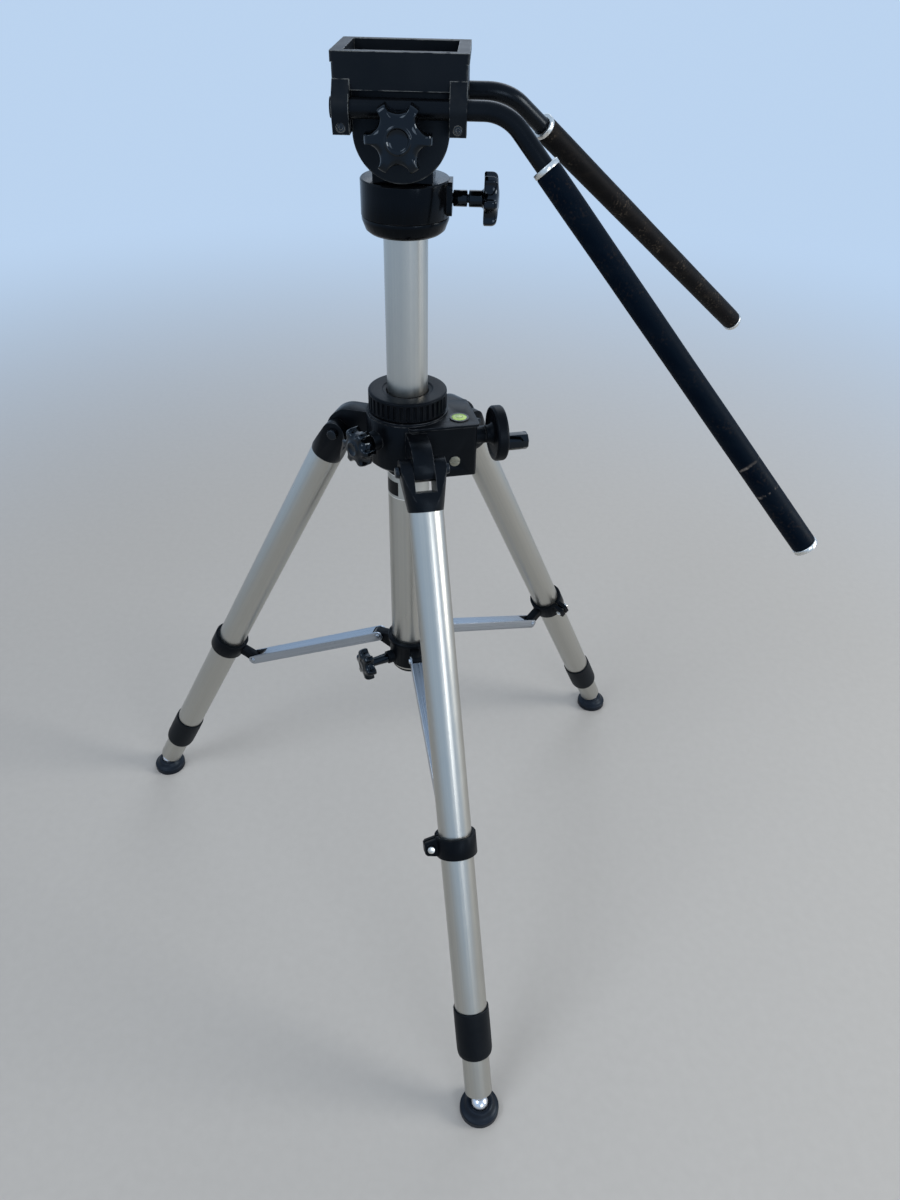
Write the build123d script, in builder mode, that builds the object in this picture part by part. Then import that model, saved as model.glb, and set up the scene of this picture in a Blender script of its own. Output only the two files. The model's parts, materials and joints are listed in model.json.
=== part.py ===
"""A fold-up camera tripod with a geared centre column and a two-handled fluid head.

Millimetres, +Z up. The origin is where the column's axis meets the floor, and +X runs from the
camera platform towards the two pan handles.
"""
from build123d import *
from math import acos, asin, atan2, cos, degrees, exp, hypot, log, pi, radians, sin, sqrt, tan
import os

# ---------------------------------------------------------------- driving dimensions
running = 0.05  # radial play of a turning or sliding fit
loose = 0.3  # play between pieces that pass close by

# legs
shoulder_yaw = 14.6  # how far the leg set is turned against the head
hinge_radius = 68.0
hinge_height = 578.0
foot_circle_radius = 362.0
ball_height = 14.0
leg_tube_radius = 16.0
leg_tube_wall = 1.5
lower_tube_radius = 13.7
lower_tube_wall = 1.4
sleeve_length = 52.0
sleeve_radius = 17.7
lower_tube_top = 140.0  # down the leg from its hinge
sleeve_rise = 109.0  # from the ball up the leg to the sleeve's top
sleeve_grip = 21.0  # how much of the sleeve is on the upper tube
ball_neck_reach = 14.0  # from the lower tube's end to the ball's middle
ball_neck_radius = 7.0
stud_plug_length = 22.0
lower_bush_length = 25.0
ball_radius = 9.0
pad_radius = 19.8
pad_side_height = 8.5
pad_lip_height = 15.5
pad_lip_radius = 12.0

# leg hinges
fork_length = 36.0
fork_end_radius = 11.0
fork_width = 41.0
fork_neck_width = 31.5
fork_throat = 19.0
fork_plug_length = 26.0
tongue_width = 18.4
tongue_end_radius = 10.3
arm_rise = 22.0
arm_reach = 79.5
hinge_bolt_radius = 3.0
hinge_head_radius = 5.5
hinge_head_height = 3.6

# braces
brace_pin_along = 353.8  # from the leg's hinge down the leg
brace_pin_inset = 36.2  # from the leg's axis inwards
hub_pin_radius = 36.5
brace_rise = 80.0  # the hub's pins stand this far above the legs' own
brace_width = 14.0
brace_height = 11.0
brace_wall = 1.6
brace_above_pin = 5.0
brace_hub_notch = 5.0
brace_leg_notch = 19.0
lug_width = 10.0
lug_end_radius = 4.5
brace_rivet_radius = 2.0
brace_rivet_head_radius = 3.0
brace_rivet_head_height = 1.6
collar_radius = 19.8
collar_length = 20.0
collar_ear_reach = 31.0
collar_ear_thickness = 11.0
collar_ear_slit = 1.8
collar_screw_radius = 2.0

# centre column, its guide tube and the hub that slides on it
column_radius = 18.5
column_wall = 2.0
column_length = 319.0
column_raised = 186.0  # from the leg hinges up to the column's top
guide_tube_radius = 20.0
guide_tube_margin = 3.0  # how far it shows below the hub
hub_length = 35.0
hub_pin_drop = 10.5  # from the hub's top down to its pins
hub_radius = 22.6
hub_rim_radius = 24.6
hub_rim_height = 5.0
hub_knob_angle = -150.0
hub_knob_rise = 9.0  # above the hub's underside
hub_knob_reach = 49.0

# shoulder, in its own turned frame
shoulder_rise = 27.0  # these two are from the leg hinges up and down
shoulder_drop = 21.0
shoulder_radius = 38.5
housing_left = -5.0
housing_right = 57.0
housing_front = -41.0
housing_back = 10.0
housing_drop = 25.0
plate_thickness = 2.8
plate_overhang = 1.4
crank_rise = 6.5
bush_depth = 12.0
bush_wall = 2.6
gear_module = 1.0
pinion_teeth = 12
pinion_side_play = 0.4
rack_angle = 176.0
gear_addendum = 0.7
gear_backlash = 0.24
rack_width = 8.0
rack_thickness = 3.6
rack_inset = 0.4
rack_margin = 10.0  # from the column's lower end
rack_top_margin = 26.0  # from the column's top end
crank_shaft_radius = 3.0
pinion_shaft_radius = 2.5
pinion_shaft_length = 26.0
crank_boss_radius = 8.0
crank_boss_end = 68.0
crank_shaft_inner_end = -9.0
crank_web = 5.0
crank_offset = 23.3
crank_wheel_radius = 25.7
crank_wheel_start = 75.0
crank_wheel_width = 11.0
crank_grip_radius = 8.4
crank_grip_length = 24.0
crank_throw = 10.0
column_knob_angle = -135.5
column_knob_rise = 8.0
column_knob_reach = 52.0
bubble_x = 42.7
bubble_y = -26.6
bubble_radius = 6.9
bubble_ring_radius = 8.6
plug_x = 36.0
plug_drop = 9.0
plug_radius = 4.9
lock_ring_radius = 36.0
lock_ring_gap = 2.6
lock_ring_height = 18.4
lock_ring_flutes = 38

# head
head_base_rise = 13.0  # over the column's top
head_base_low_radius = 32.8
head_base_radius = 35.6
drum_radius = 36.0
drum_gap = 0.4
drum_height = 27.6
spigot_radius = 10.0
pan_knob_rise = 13.0
pan_boss_end = 38.0
pan_boss_half_width = 13.0
pan_collar_radius = 6.4
pan_collar_length = 24.0
pan_knob_radius = 20.5
pan_knob_length = 9.8
tilt_rise = 38.5
tilt_shaft_radius = 5.0
yoke_half_length = 23.5
yoke_half_width = 27.0
yoke_top_radius = 22.0
cheek_radius = 36.0
cheek_thickness = 9.0
cheek_gap = 0.6
bridge_thickness = 4.4
tilt_knob_radius = 24.6
tilt_knob_length = 13.0
tilt_knob_stem_radius = 8.5
tilt_knob_gap = 1.8
platform_length = 97.0
platform_depth = 83.0
platform_rise = 27.2
platform_height = 24.3
platform_wall = 8.0
platform_floor = 6.0
platform_lip = 1.0
platform_lip_height = 7.0
rim_hole_spacing_x = 68.0
rim_hole_spacing_y = 75.0
rim_hole_radius = 1.6
rim_hole_depth = 8.0

# pan handles
handle_tube_radius = 7.0
handle_tube_wall = 1.2
handle_offset = 44.0
handle_clearance = 1.0  # round the tilt knob's stem
handle_bend_angle = 50.0
handle_bend_radius = 35.0
near_corner_x = 77.0
far_corner_x = 79.5
near_splay_angle = 14.2
far_splay_angle = 38.4
grip_start = 45.7
grip_length = 367.0
grip_radius = 10.3
ferrule_radius = 10.6
ferrule_length = 4.0
clamp_width = 12.5
clamp_wall = 2.8
clamp_drop = 18.0
clamp_slit = 1.6
clamp_screw_drop = 12.0
clamp_screw_radius = 1.8
clamp_head_radius = 2.9

knob_edge = 1.6

# ---------------------------------------------------------------- worked-out places
leg_angles = [shoulder_yaw - 90 + 120 * turn for turn in range(3)]
leg_lean = atan2(foot_circle_radius - hinge_radius, hinge_height - ball_height)
leg_length = hypot(foot_circle_radius - hinge_radius, hinge_height - ball_height)
sleeve_top = leg_length - sleeve_rise
upper_tube_end = sleeve_top + sleeve_grip
lower_tube_end = leg_length - ball_neck_reach
down_leg = Vector(sin(leg_lean), 0, -cos(leg_lean))
out_of_leg = Vector(cos(leg_lean), 0, sin(leg_lean))
hinge_point = Vector(hinge_radius, 0, hinge_height)
brace_leg_pin = hinge_point + down_leg * brace_pin_along - out_of_leg * brace_pin_inset
hub_pin_height = brace_leg_pin.Z + brace_rise
hub_top = hub_pin_height + hub_pin_drop
hub_bottom = hub_top - hub_length
hub_knob_height = hub_bottom + hub_knob_rise
brace_hub_pin = Vector(hub_pin_radius, 0, hub_pin_height)
brace_run = brace_leg_pin - brace_hub_pin
brace_length = brace_run.length
down_brace = brace_run / brace_length
arm_top_height = hinge_height + arm_rise
shoulder_top = hinge_height + shoulder_rise
shoulder_bottom = hinge_height - shoulder_drop
housing_bottom = hinge_height - housing_drop
crank_height = hinge_height + crank_rise
column_knob_height = hinge_height + column_knob_rise
plug_height = hinge_height - plug_drop
lock_ring_bottom = shoulder_top + lock_ring_gap
guide_tube_bottom = hub_bottom - guide_tube_margin
guide_tube_top = hinge_height - guide_tube_margin
column_top = hinge_height + column_raised
column_bottom = column_top - column_length
rack_start = column_bottom + rack_margin
rack_tooth_count = int((column_length - rack_margin - rack_top_margin) / (pi * gear_module))
head_base_top = column_top + head_base_rise
drum_top = head_base_top + drum_gap + drum_height
pan_knob_height = head_base_top + pan_knob_rise
tilt_height = drum_top + tilt_rise
handle_height = tilt_height + tilt_knob_stem_radius + handle_tube_radius + handle_clearance
platform_bottom = tilt_height + platform_rise
platform_top = platform_bottom + platform_height
clamp_bottom = handle_height - clamp_drop
clamp_screw_height = handle_height - clamp_screw_drop
pieces = {}


def keep(piece, name):
    """Label a finished piece and hold it until all are written."""
    piece.label = name
    pieces[name] = piece


def keep_on_legs(piece, name):
    """The same piece on each of the three legs, turned about the column's axis."""
    for number, angle in enumerate(leg_angles, 1):
        keep(piece.rotate(Axis.Z, angle), f"leg_{number}_{name}")


def across_leg(distance):
    """A plane square to the leg, this far down it, with x pointing outwards."""
    return Plane(hinge_point + down_leg * distance, x_dir=out_of_leg, z_dir=down_leg)


def radial_plane(angle):
    """The upright plane through the column's axis at this angle: x runs outwards, y up."""
    turn = radians(angle)
    return Plane((0, 0, 0), x_dir=(cos(turn), sin(turn), 0), z_dir=(sin(turn), -cos(turn), 0))


def spoke_plane(angle, distance, height):
    """A plane square to a horizontal spoke from the column's axis, facing outwards."""
    turn = radians(angle)
    outwards = Vector(cos(turn), sin(turn), 0)
    return Plane(outwards * distance + Vector(0, 0, height), x_dir=(-sin(turn), cos(turn), 0), z_dir=outwards)


leg_side = Plane(hinge_point, x_dir=out_of_leg, z_dir=(0, 1, 0))  # x out of the leg, y down it
leg_front = Plane(hinge_point, x_dir=(0, 1, 0), z_dir=-out_of_leg)  # x across the leg, y down it
brace_side = Plane(brace_hub_pin, x_dir=down_brace, z_dir=(0, -1, 0))  # x down the brace, y up

# ---------------------------------------------------------------- leg pieces
with BuildPart() as fork:
    with BuildSketch(leg_side):
        Circle(fork_end_radius)
        with Locations((0, fork_length - 1)):
            Rectangle(2 * leg_tube_radius, 2)
        make_hull()
    extrude(amount=fork_width / 2, both=True)
    with BuildSketch(leg_front):
        with BuildLine():
            Polyline(
                (-fork_width / 2, -fork_end_radius - 1),
                (fork_width / 2, -fork_end_radius - 1),
                (fork_width / 2, 0),
                (fork_neck_width / 2, fork_length),
                (-fork_neck_width / 2, fork_length),
                (-fork_width / 2, 0),
                close=True,
            )
        make_face()
    extrude(amount=2 * leg_tube_radius, both=True, mode=Mode.INTERSECT)
    with BuildSketch(leg_side):
        with BuildLine():
            Polyline(
                (0, -2 * fork_end_radius),
                (fork_width * 0.62, -2 * fork_end_radius),
                (fork_width * 0.56, 0),
                (leg_tube_radius + 0.2, fork_length),
                (0, fork_length),
                close=True,
            )
        make_face()
    revolve(axis=Axis(hinge_point, down_leg), mode=Mode.INTERSECT)
    with BuildSketch(leg_side):
        with Locations((0, fork_throat / 2 - fork_end_radius)):
            Rectangle(4 * leg_tube_radius, fork_throat + 2 * fork_end_radius)
    extrude(amount=tongue_width / 2 + loose, both=True, mode=Mode.SUBTRACT)
    with BuildSketch(leg_side):
        Circle(hinge_bolt_radius + running)
    extrude(amount=fork_width, both=True, mode=Mode.SUBTRACT)
    with BuildSketch(across_leg(fork_length)):
        Circle(leg_tube_radius - leg_tube_wall)
    extrude(amount=fork_plug_length)
keep_on_legs(fork.part, "fork")

with BuildPart() as hinge_bolts:
    for angle in leg_angles:
        turn = radians(angle)
        centre = Vector(hinge_radius * cos(turn), hinge_radius * sin(turn), hinge_height)
        sideways = Vector(-sin(turn), cos(turn), 0)
        with BuildSketch(Plane(centre, z_dir=sideways)):
            Circle(hinge_bolt_radius)
        extrude(amount=fork_width / 2 + loose, both=True)
        for side in (-1, 1):
            with BuildSketch(Plane(centre + sideways * side * (fork_width / 2 + loose), z_dir=sideways * side)):
                Circle(hinge_head_radius)
            extrude(amount=hinge_head_height, taper=14)
keep(hinge_bolts.part, "leg_hinge_bolts")

with BuildPart() as upper_tube:
    with BuildSketch(across_leg(fork_length)):
        Circle(leg_tube_radius)
        Circle(leg_tube_radius - leg_tube_wall, mode=Mode.SUBTRACT)
    extrude(amount=upper_tube_end - fork_length)
keep_on_legs(upper_tube.part, "upper_tube")

with BuildPart() as brace_collar:
    with BuildSketch(across_leg(brace_pin_along - collar_length / 2)):
        Circle(collar_radius)
    extrude(amount=collar_length)
    with BuildSketch(leg_front):
        with BuildLine():
            Polyline(
                (0, brace_pin_along - collar_length / 2),
                (-collar_radius + 3, brace_pin_along - collar_length / 2 + 1),
                (-collar_ear_reach + 2, brace_pin_along - 6.5),
                (-collar_ear_reach, brace_pin_along - 4.5),
                (-collar_ear_reach, brace_pin_along + 4.5),
                (-collar_ear_reach + 2, brace_pin_along + 6.5),
                (-collar_radius + 3, brace_pin_along + collar_length / 2 - 1),
                (0, brace_pin_along + collar_length / 2),
                close=True,
            )
        make_face()
    extrude(amount=collar_ear_thickness / 2, both=True)
    with BuildSketch(leg_side):
        with Locations((-brace_pin_inset, brace_pin_along)):
            Circle(lug_end_radius)
        with Locations((-collar_radius + 1, brace_pin_along)):
            Rectangle(2, 1.8 * lug_end_radius)
        make_hull()
    extrude(amount=lug_width / 2, both=True)
    with BuildSketch(across_leg(0)):
        Circle(leg_tube_radius + running)
    extrude(amount=leg_length, mode=Mode.SUBTRACT)
    with BuildSketch(leg_front):
        with Locations((-collar_ear_reach, brace_pin_along)):
            Rectangle(2 * (collar_ear_reach - leg_tube_radius + 3), 2 * collar_length)
    extrude(amount=collar_ear_slit / 2, both=True, mode=Mode.SUBTRACT)
    with BuildSketch(leg_front):
        with Locations((-(collar_radius + collar_ear_reach) / 2, brace_pin_along)):
            Circle(collar_screw_radius + running)
    extrude(amount=collar_ear_thickness, both=True, mode=Mode.SUBTRACT)
    with BuildSketch(leg_side):
        with Locations((-brace_pin_inset, brace_pin_along)):
            Circle(brace_rivet_radius + running)
    extrude(amount=lug_width, both=True, mode=Mode.SUBTRACT)
keep_on_legs(brace_collar.part, "brace_collar")

with BuildPart() as collar_screw:
    ear_middle = (-(collar_radius + collar_ear_reach) / 2, brace_pin_along)
    with BuildSketch(leg_front):
        with Locations(ear_middle):
            Circle(collar_screw_radius)
    extrude(amount=collar_ear_thickness / 2 + 3, both=True)
    with BuildSketch(leg_front.offset(-collar_ear_thickness / 2)):
        with Locations(ear_middle):
            Circle(1.7 * collar_screw_radius)
    extrude(amount=-2.4)
    with BuildSketch(leg_front.offset(-collar_ear_thickness / 2 - 3)):
        with Locations(ear_middle):
            Circle(1.7 * collar_screw_radius)
            RegularPolygon(collar_screw_radius * 0.9, 6, mode=Mode.SUBTRACT)
    extrude(amount=0.6)
    with BuildSketch(leg_front.offset(collar_ear_thickness / 2)):
        with Locations(ear_middle):
            RegularPolygon(1.8 * collar_screw_radius, 6)
    extrude(amount=2.2)
keep_on_legs(collar_screw.part, "collar_screw")

with BuildPart() as twist_sleeve:
    with BuildSketch(leg_side):
        with BuildLine():
            Polyline(
                (leg_tube_radius + loose, sleeve_top),
                (sleeve_radius - 0.4, sleeve_top),
                (sleeve_radius, sleeve_top + 2),
                (sleeve_radius + 0.3, sleeve_top + sleeve_length / 2),
                (sleeve_radius + 0.3, sleeve_top + sleeve_length - 5),
                (sleeve_radius - 1.2, sleeve_top + sleeve_length - 1.2),
                (sleeve_radius - 3, sleeve_top + sleeve_length),
                (lower_tube_radius + loose, sleeve_top + sleeve_length),
                (lower_tube_radius + loose, upper_tube_end + loose),
                (leg_tube_radius + loose, upper_tube_end + loose),
                close=True,
            )
        make_face()
    revolve(axis=Axis(hinge_point, down_leg))
keep_on_legs(twist_sleeve.part, "twist_sleeve")

with BuildPart() as lower_tube:
    with BuildSketch(across_leg(lower_tube_top)):
        Circle(lower_tube_radius)
        Circle(lower_tube_radius - lower_tube_wall, mode=Mode.SUBTRACT)
    extrude(amount=lower_tube_end - lower_tube_top)
    with BuildSketch(across_leg(lower_tube_top)):
        Circle(leg_tube_radius - leg_tube_wall - loose)
        Circle(lower_tube_radius - lower_tube_wall, mode=Mode.SUBTRACT)
    extrude(amount=lower_bush_length)
keep_on_legs(lower_tube.part, "lower_tube")

with BuildPart() as foot_stud:
    with BuildSketch(leg_side):
        with BuildLine():
            Polyline(
                (0, lower_tube_end - stud_plug_length),
                (lower_tube_radius - lower_tube_wall - running, lower_tube_end - stud_plug_length),
                (lower_tube_radius - lower_tube_wall - running, lower_tube_end),
                (ball_neck_radius, lower_tube_end),
                (ball_neck_radius, lower_tube_end + 4),
                (ball_neck_radius - 1.5, leg_length - ball_radius + 2),
                (ball_neck_radius - 1.5, leg_length),
                (0, leg_length),
                close=True,
            )
        make_face()
    revolve(axis=Axis(hinge_point, down_leg))
    with Locations(hinge_point + down_leg * leg_length):
        Sphere(ball_radius)
keep_on_legs(foot_stud.part, "foot_stud")

with BuildPart() as foot_pad:
    with BuildSketch(Plane.XZ):
        with BuildLine():
            Polyline(
                (0, 0),
                (pad_radius - 1, 0),
                (pad_radius, 1),
                (pad_radius, pad_side_height - 1),
                (pad_radius - 1, pad_side_height),
                (pad_lip_radius, pad_lip_height),
                (0, pad_lip_height),
                close=True,
            )
        make_face()
    revolve(axis=Axis.Z)
    with Locations((0, 0, ball_height)):
        Sphere(ball_radius + loose, mode=Mode.SUBTRACT)
keep_on_legs(foot_pad.part.moved(Location((foot_circle_radius, 0, 0))), "foot_pad")

# ---------------------------------------------------------------- braces
with BuildPart() as brace:
    with BuildSketch(brace_side):
        for end in (0, brace_length):
            with Locations((end, brace_above_pin - brace_height / 2)):
                Circle(brace_height / 2)
        make_hull()
    extrude(amount=brace_width / 2, both=True)
    with BuildSketch(brace_side):
        with Locations((brace_length / 2, brace_above_pin - brace_wall - brace_height)):
            Rectangle(2 * brace_length, 2 * brace_height)
    extrude(amount=brace_width / 2 - brace_wall, both=True, mode=Mode.SUBTRACT)
    for middle, reach in ((0, brace_hub_notch), (brace_length, brace_leg_notch)):
        with BuildSketch(brace_side):
            with Locations((middle, brace_above_pin)):
                Rectangle(2 * reach, 4 * brace_wall)
        extrude(amount=brace_width / 2 - brace_wall, both=True, mode=Mode.SUBTRACT)
    with BuildSketch(brace_side):
        with Locations((0, 0), (brace_length, 0)):
            Circle(brace_rivet_radius)
    extrude(amount=brace_width, both=True, mode=Mode.SUBTRACT)

with BuildPart() as brace_rivets:
    with BuildSketch(brace_side):
        Circle(brace_rivet_radius)
    extrude(amount=brace_width / 2, both=True)
    for side in (-1, 1):
        face = Plane(brace_hub_pin + Vector(0, -side * brace_width / 2, 0), x_dir=down_brace, z_dir=(0, -side, 0))
        with BuildSketch(face):
            with Locations((0, 0), (brace_length, 0)):
                Circle(brace_rivet_head_radius)
        extrude(amount=brace_rivet_head_height, taper=22)
        with BuildSketch(face.offset(-brace_wall)):
            with Locations((brace_length, 0)):
                Circle(brace_rivet_radius)
        extrude(amount=brace_wall)
keep_on_legs(Part() + [brace.part, brace_rivets.part], "brace")

# ---------------------------------------------------------------- hub and guide tube
with BuildPart() as hub_collar:
    with BuildSketch(Plane.XY.offset(hub_bottom)):
        Circle(hub_radius)
    extrude(amount=hub_top - hub_bottom)
    with BuildSketch(Plane.XY.offset(hub_top - hub_rim_height)):
        Circle(hub_rim_radius)
    extrude(amount=hub_rim_height)
    chamfer(hub_collar.edges().group_by(Axis.Z)[0] + hub_collar.edges().group_by(Axis.Z)[-1], 1.2)
    for angle in leg_angles:
        with BuildSketch(radial_plane(angle)):
            with Locations((hub_pin_radius, hub_pin_height)):
                Circle(lug_end_radius)
            with Locations((hub_radius - 1, hub_pin_height - lug_end_radius)):
                Rectangle(2, 4 * lug_end_radius)
            make_hull()
        extrude(amount=lug_width / 2, both=True)
    with BuildSketch(spoke_plane(hub_knob_angle, 0, hub_knob_height)):
        Circle(7)
    extrude(amount=hub_radius + 6)
    with BuildSketch(Plane.XY.offset(hub_bottom - 1)):
        Circle(guide_tube_radius + 4 * running)
    extrude(amount=hub_top - hub_bottom + 2, mode=Mode.SUBTRACT)
    for angle in leg_angles:
        with BuildSketch(radial_plane(angle)):
            with Locations((hub_pin_radius, hub_pin_height)):
                Circle(brace_rivet_radius + running)
        extrude(amount=lug_width, both=True, mode=Mode.SUBTRACT)
    with BuildSketch(spoke_plane(hub_knob_angle, 0, hub_knob_height)):
        Circle(4 + running)
    extrude(amount=2 * hub_radius, mode=Mode.SUBTRACT)
keep(hub_collar.part, "hub_collar")

with BuildPart() as guide_tube:
    with BuildSketch(Plane.XY.offset(guide_tube_bottom)):
        Circle(guide_tube_radius)
        Circle(column_radius + loose, mode=Mode.SUBTRACT)
    extrude(amount=guide_tube_top - guide_tube_bottom)
keep(guide_tube.part, "guide_tube")

with BuildPart() as guide_tube_cap:
    with BuildSketch(Plane.XZ):
        with BuildLine():
            Polyline(
                (0, guide_tube_bottom - 7),
                (guide_tube_radius - 7, guide_tube_bottom - 7),
                (guide_tube_radius - 2, guide_tube_bottom - 4.5),
                (guide_tube_radius, guide_tube_bottom - 1.5),
                (guide_tube_radius, guide_tube_bottom),
                (column_radius + loose - running, guide_tube_bottom),
                (column_radius + loose - running, guide_tube_bottom + 8),
                (0, guide_tube_bottom + 8),
                close=True,
            )
        make_face()
    revolve(axis=Axis.Z)
keep(guide_tube_cap.part, "guide_tube_cap")


def lobed_points(lobes, radius, depth):
    """Points of a round outline with circular hollows between its lobes, blended at the corners."""
    pitch = pi / lobes
    corner = 0.73 * pitch  # from a hollow's middle to the lobe's corner
    bottom = 1 - depth
    middle = (1 - bottom**2) / (2 * (cos(corner) - bottom))  # the hollow circle's centre, as a share of the radius
    hollow = middle - bottom
    edge = asin(min(1.0, hollow / middle))
    points = []
    for step in range(16 * lobes):
        turn = 2 * pi * step / (16 * lobes)
        off = abs(turn % (2 * pitch) - pitch)
        if off < edge:
            inner = middle * cos(off) - sqrt(hollow**2 - (middle * sin(off)) ** 2)
        else:
            inner = middle * cos(edge) + 6 * (off - edge)
        reach = -0.035 * log(exp(-1 / 0.035) + exp(-inner / 0.035)) * radius
        points.append((reach * cos(turn), reach * sin(turn)))
    return points


def star_knob(plane, lobes, radius, depth, length, stem_radius, stem_start, boss_radius):
    """A lobed knob facing out of its plane, with a stem behind it and a low round boss in front."""
    with BuildPart() as knob:
        with BuildSketch(plane):
            with BuildLine():
                Spline(*lobed_points(lobes, radius, depth), periodic=True)
            make_face()
        extrude(amount=length)
        for rise, outer in ((length, radius), (length + knob_edge, radius - knob_edge)):
            with BuildSketch(plane.offset(rise)):
                with BuildLine():
                    Spline(*lobed_points(lobes, outer, depth), periodic=True)
                make_face()
        loft()
        with BuildSketch(plane):
            Circle(stem_radius)
        extrude(amount=stem_start)
        with BuildSketch(plane.offset(length + knob_edge)):
            Circle(boss_radius)
        extrude(amount=1, taper=30)
    return knob.part


hub_knob = star_knob(
    spoke_plane(hub_knob_angle, hub_knob_reach, hub_knob_height),
    6, 17.5, 0.24, 9, 4, guide_tube_radius + 1 - hub_knob_reach, 6,
)
keep(hub_knob, "hub_lock_knob")

# ---------------------------------------------------------------- shoulder
turned = Plane((0, 0, 0), x_dir=(cos(radians(shoulder_yaw)), sin(radians(shoulder_yaw)), 0), z_dir=(0, 0, 1))
crank_plane = Plane(
    turned.from_local_coords(Vector(0, -crank_offset, crank_height)), x_dir=turned.y_dir, z_dir=turned.x_dir
)
pinion_radius = gear_module * pinion_teeth / 2
pinion_length = rack_width - pinion_side_play
rack_tip_reach = column_radius - rack_inset
rack_pitch_reach = rack_tip_reach - gear_addendum
rack_outwards = Vector(cos(radians(rack_angle)), sin(radians(rack_angle)), 0)
pinion_plane = Plane(
    rack_outwards * (rack_pitch_reach + pinion_radius) + Vector(0, 0, crank_height),
    x_dir=rack_outwards,
    z_dir=(sin(radians(rack_angle)), -cos(radians(rack_angle)), 0),
)

with BuildPart() as shoulder:
    with BuildSketch(Plane.XY.offset(shoulder_bottom)):
        Circle(shoulder_radius)
    extrude(amount=shoulder_top - shoulder_bottom)
    chamfer(shoulder.edges().filter_by(GeomType.CIRCLE).sort_by(Axis.Z)[0], 3)
    with BuildSketch(turned.offset(housing_bottom)):
        with Locations(((housing_left + housing_right) / 2, (housing_front + housing_back) / 2)):
            RectangleRounded(housing_right - housing_left, housing_back - housing_front, 3)
    extrude(amount=shoulder_top - housing_bottom)
    with BuildSketch(turned.offset(shoulder_top - plate_thickness)):
        with Locations(((housing_left + housing_right) / 2, (housing_front + housing_back) / 2)):
            RectangleRounded(
                housing_right - housing_left + 2 * plate_overhang,
                housing_back - housing_front + 2 * plate_overhang,
                3.5,
            )
    extrude(amount=plate_thickness)
    with BuildSketch(Plane.XY.offset(shoulder_top)):
        Circle(lock_ring_radius + 1.4)
    extrude(amount=lock_ring_bottom - loose - shoulder_top)
    for angle in leg_angles:
        with BuildSketch(radial_plane(angle)):
            with BuildLine():
                inner = shoulder_radius - 8
                top = Line((inner, shoulder_bottom + 5), (inner, arm_top_height))
                rise = Line(top @ 1, (hinge_radius - 14, arm_top_height))
                brow = TangentArc(rise @ 1, (arm_reach, hinge_height - 3), tangent=(1, 0))
                toe = (
                    hinge_radius + tongue_end_radius * sin(leg_lean),
                    hinge_height - tongue_end_radius * cos(leg_lean),
                )
                chin = ThreePointArc(
                    brow @ 1,
                    (hinge_radius + tongue_end_radius * 0.83, hinge_height - tongue_end_radius * 0.58),
                    toe,
                )
                heel = Line(chin @ 1, (hinge_radius - 4, hinge_height - tongue_end_radius + 0.4))
                Line(heel @ 1, top @ 0)
            make_face()
        extrude(amount=tongue_width / 2, both=True)
    with BuildSketch(crank_plane.offset(housing_right)):
        Circle(crank_boss_radius)
    extrude(amount=crank_boss_end - housing_right)
    with BuildSketch(spoke_plane(column_knob_angle, 0, column_knob_height)):
        Circle(9)
    extrude(amount=column_knob_reach - 6)
    with BuildSketch(Plane.XY.offset(shoulder_bottom - 10)):
        Circle(column_radius + loose)
    extrude(amount=2 * (shoulder_top - shoulder_bottom), mode=Mode.SUBTRACT)
    with BuildSketch(Plane.XY.offset(housing_bottom - 1)):
        Circle(guide_tube_radius + running)
    extrude(amount=guide_tube_top - housing_bottom + 1, mode=Mode.SUBTRACT)
    with BuildSketch(Plane.XY.offset(shoulder_top - bush_depth)):
        Circle(column_radius + bush_wall)
    extrude(amount=2 * bush_depth, mode=Mode.SUBTRACT)
    with BuildSketch(pinion_plane):
        Circle(pinion_radius + gear_addendum + 1)
    extrude(amount=pinion_length / 2 + 1, both=True, mode=Mode.SUBTRACT)
    with BuildSketch(pinion_plane):
        Circle(pinion_shaft_radius + running)
    extrude(amount=pinion_shaft_length / 2 + loose, both=True, mode=Mode.SUBTRACT)
    with BuildSketch(crank_plane.offset(crank_shaft_inner_end - loose)):
        Circle(crank_shaft_radius + running)
    extrude(amount=2 * crank_boss_end, mode=Mode.SUBTRACT)
    for angle in leg_angles:
        with BuildSketch(radial_plane(angle)):
            with Locations((hinge_radius, hinge_height)):
                Circle(hinge_bolt_radius + running)
        extrude(amount=tongue_width, both=True, mode=Mode.SUBTRACT)
    with BuildSketch(spoke_plane(column_knob_angle, 0, column_knob_height)):
        Circle(4 + running)
    extrude(amount=2 * shoulder_radius, mode=Mode.SUBTRACT)
    with BuildSketch(turned.offset(shoulder_top)):
        with Locations((bubble_x, bubble_y)):
            Circle(bubble_radius + 2 * running)
    extrude(amount=-7, mode=Mode.SUBTRACT)
    plug_plane = Plane(turned.from_local_coords(Vector(plug_x, housing_front, plug_height)), x_dir=turned.x_dir, z_dir=-turned.y_dir)
    with BuildSketch(plug_plane):
        Circle(plug_radius + running)
    extrude(amount=-7, mode=Mode.SUBTRACT)
keep(shoulder.part, "shoulder")

with BuildPart() as housing_plug:
    with BuildSketch(plug_plane.offset(-6.5)):
        Circle(plug_radius)
    extrude(amount=7.5)
    with BuildSketch(plug_plane.offset(0.1)):
        Rectangle(2 * plug_radius + 2, 1.3)
    extrude(amount=1, mode=Mode.SUBTRACT)
keep(housing_plug.part, "housing_plug")

with BuildPart() as column_bush:
    with BuildSketch(Plane.XY.offset(shoulder_top - bush_depth)):
        Circle(column_radius + bush_wall - running)
        Circle(column_radius + running, mode=Mode.SUBTRACT)
    extrude(amount=bush_depth - 0.5)
keep(column_bush.part, "column_bush")

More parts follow.
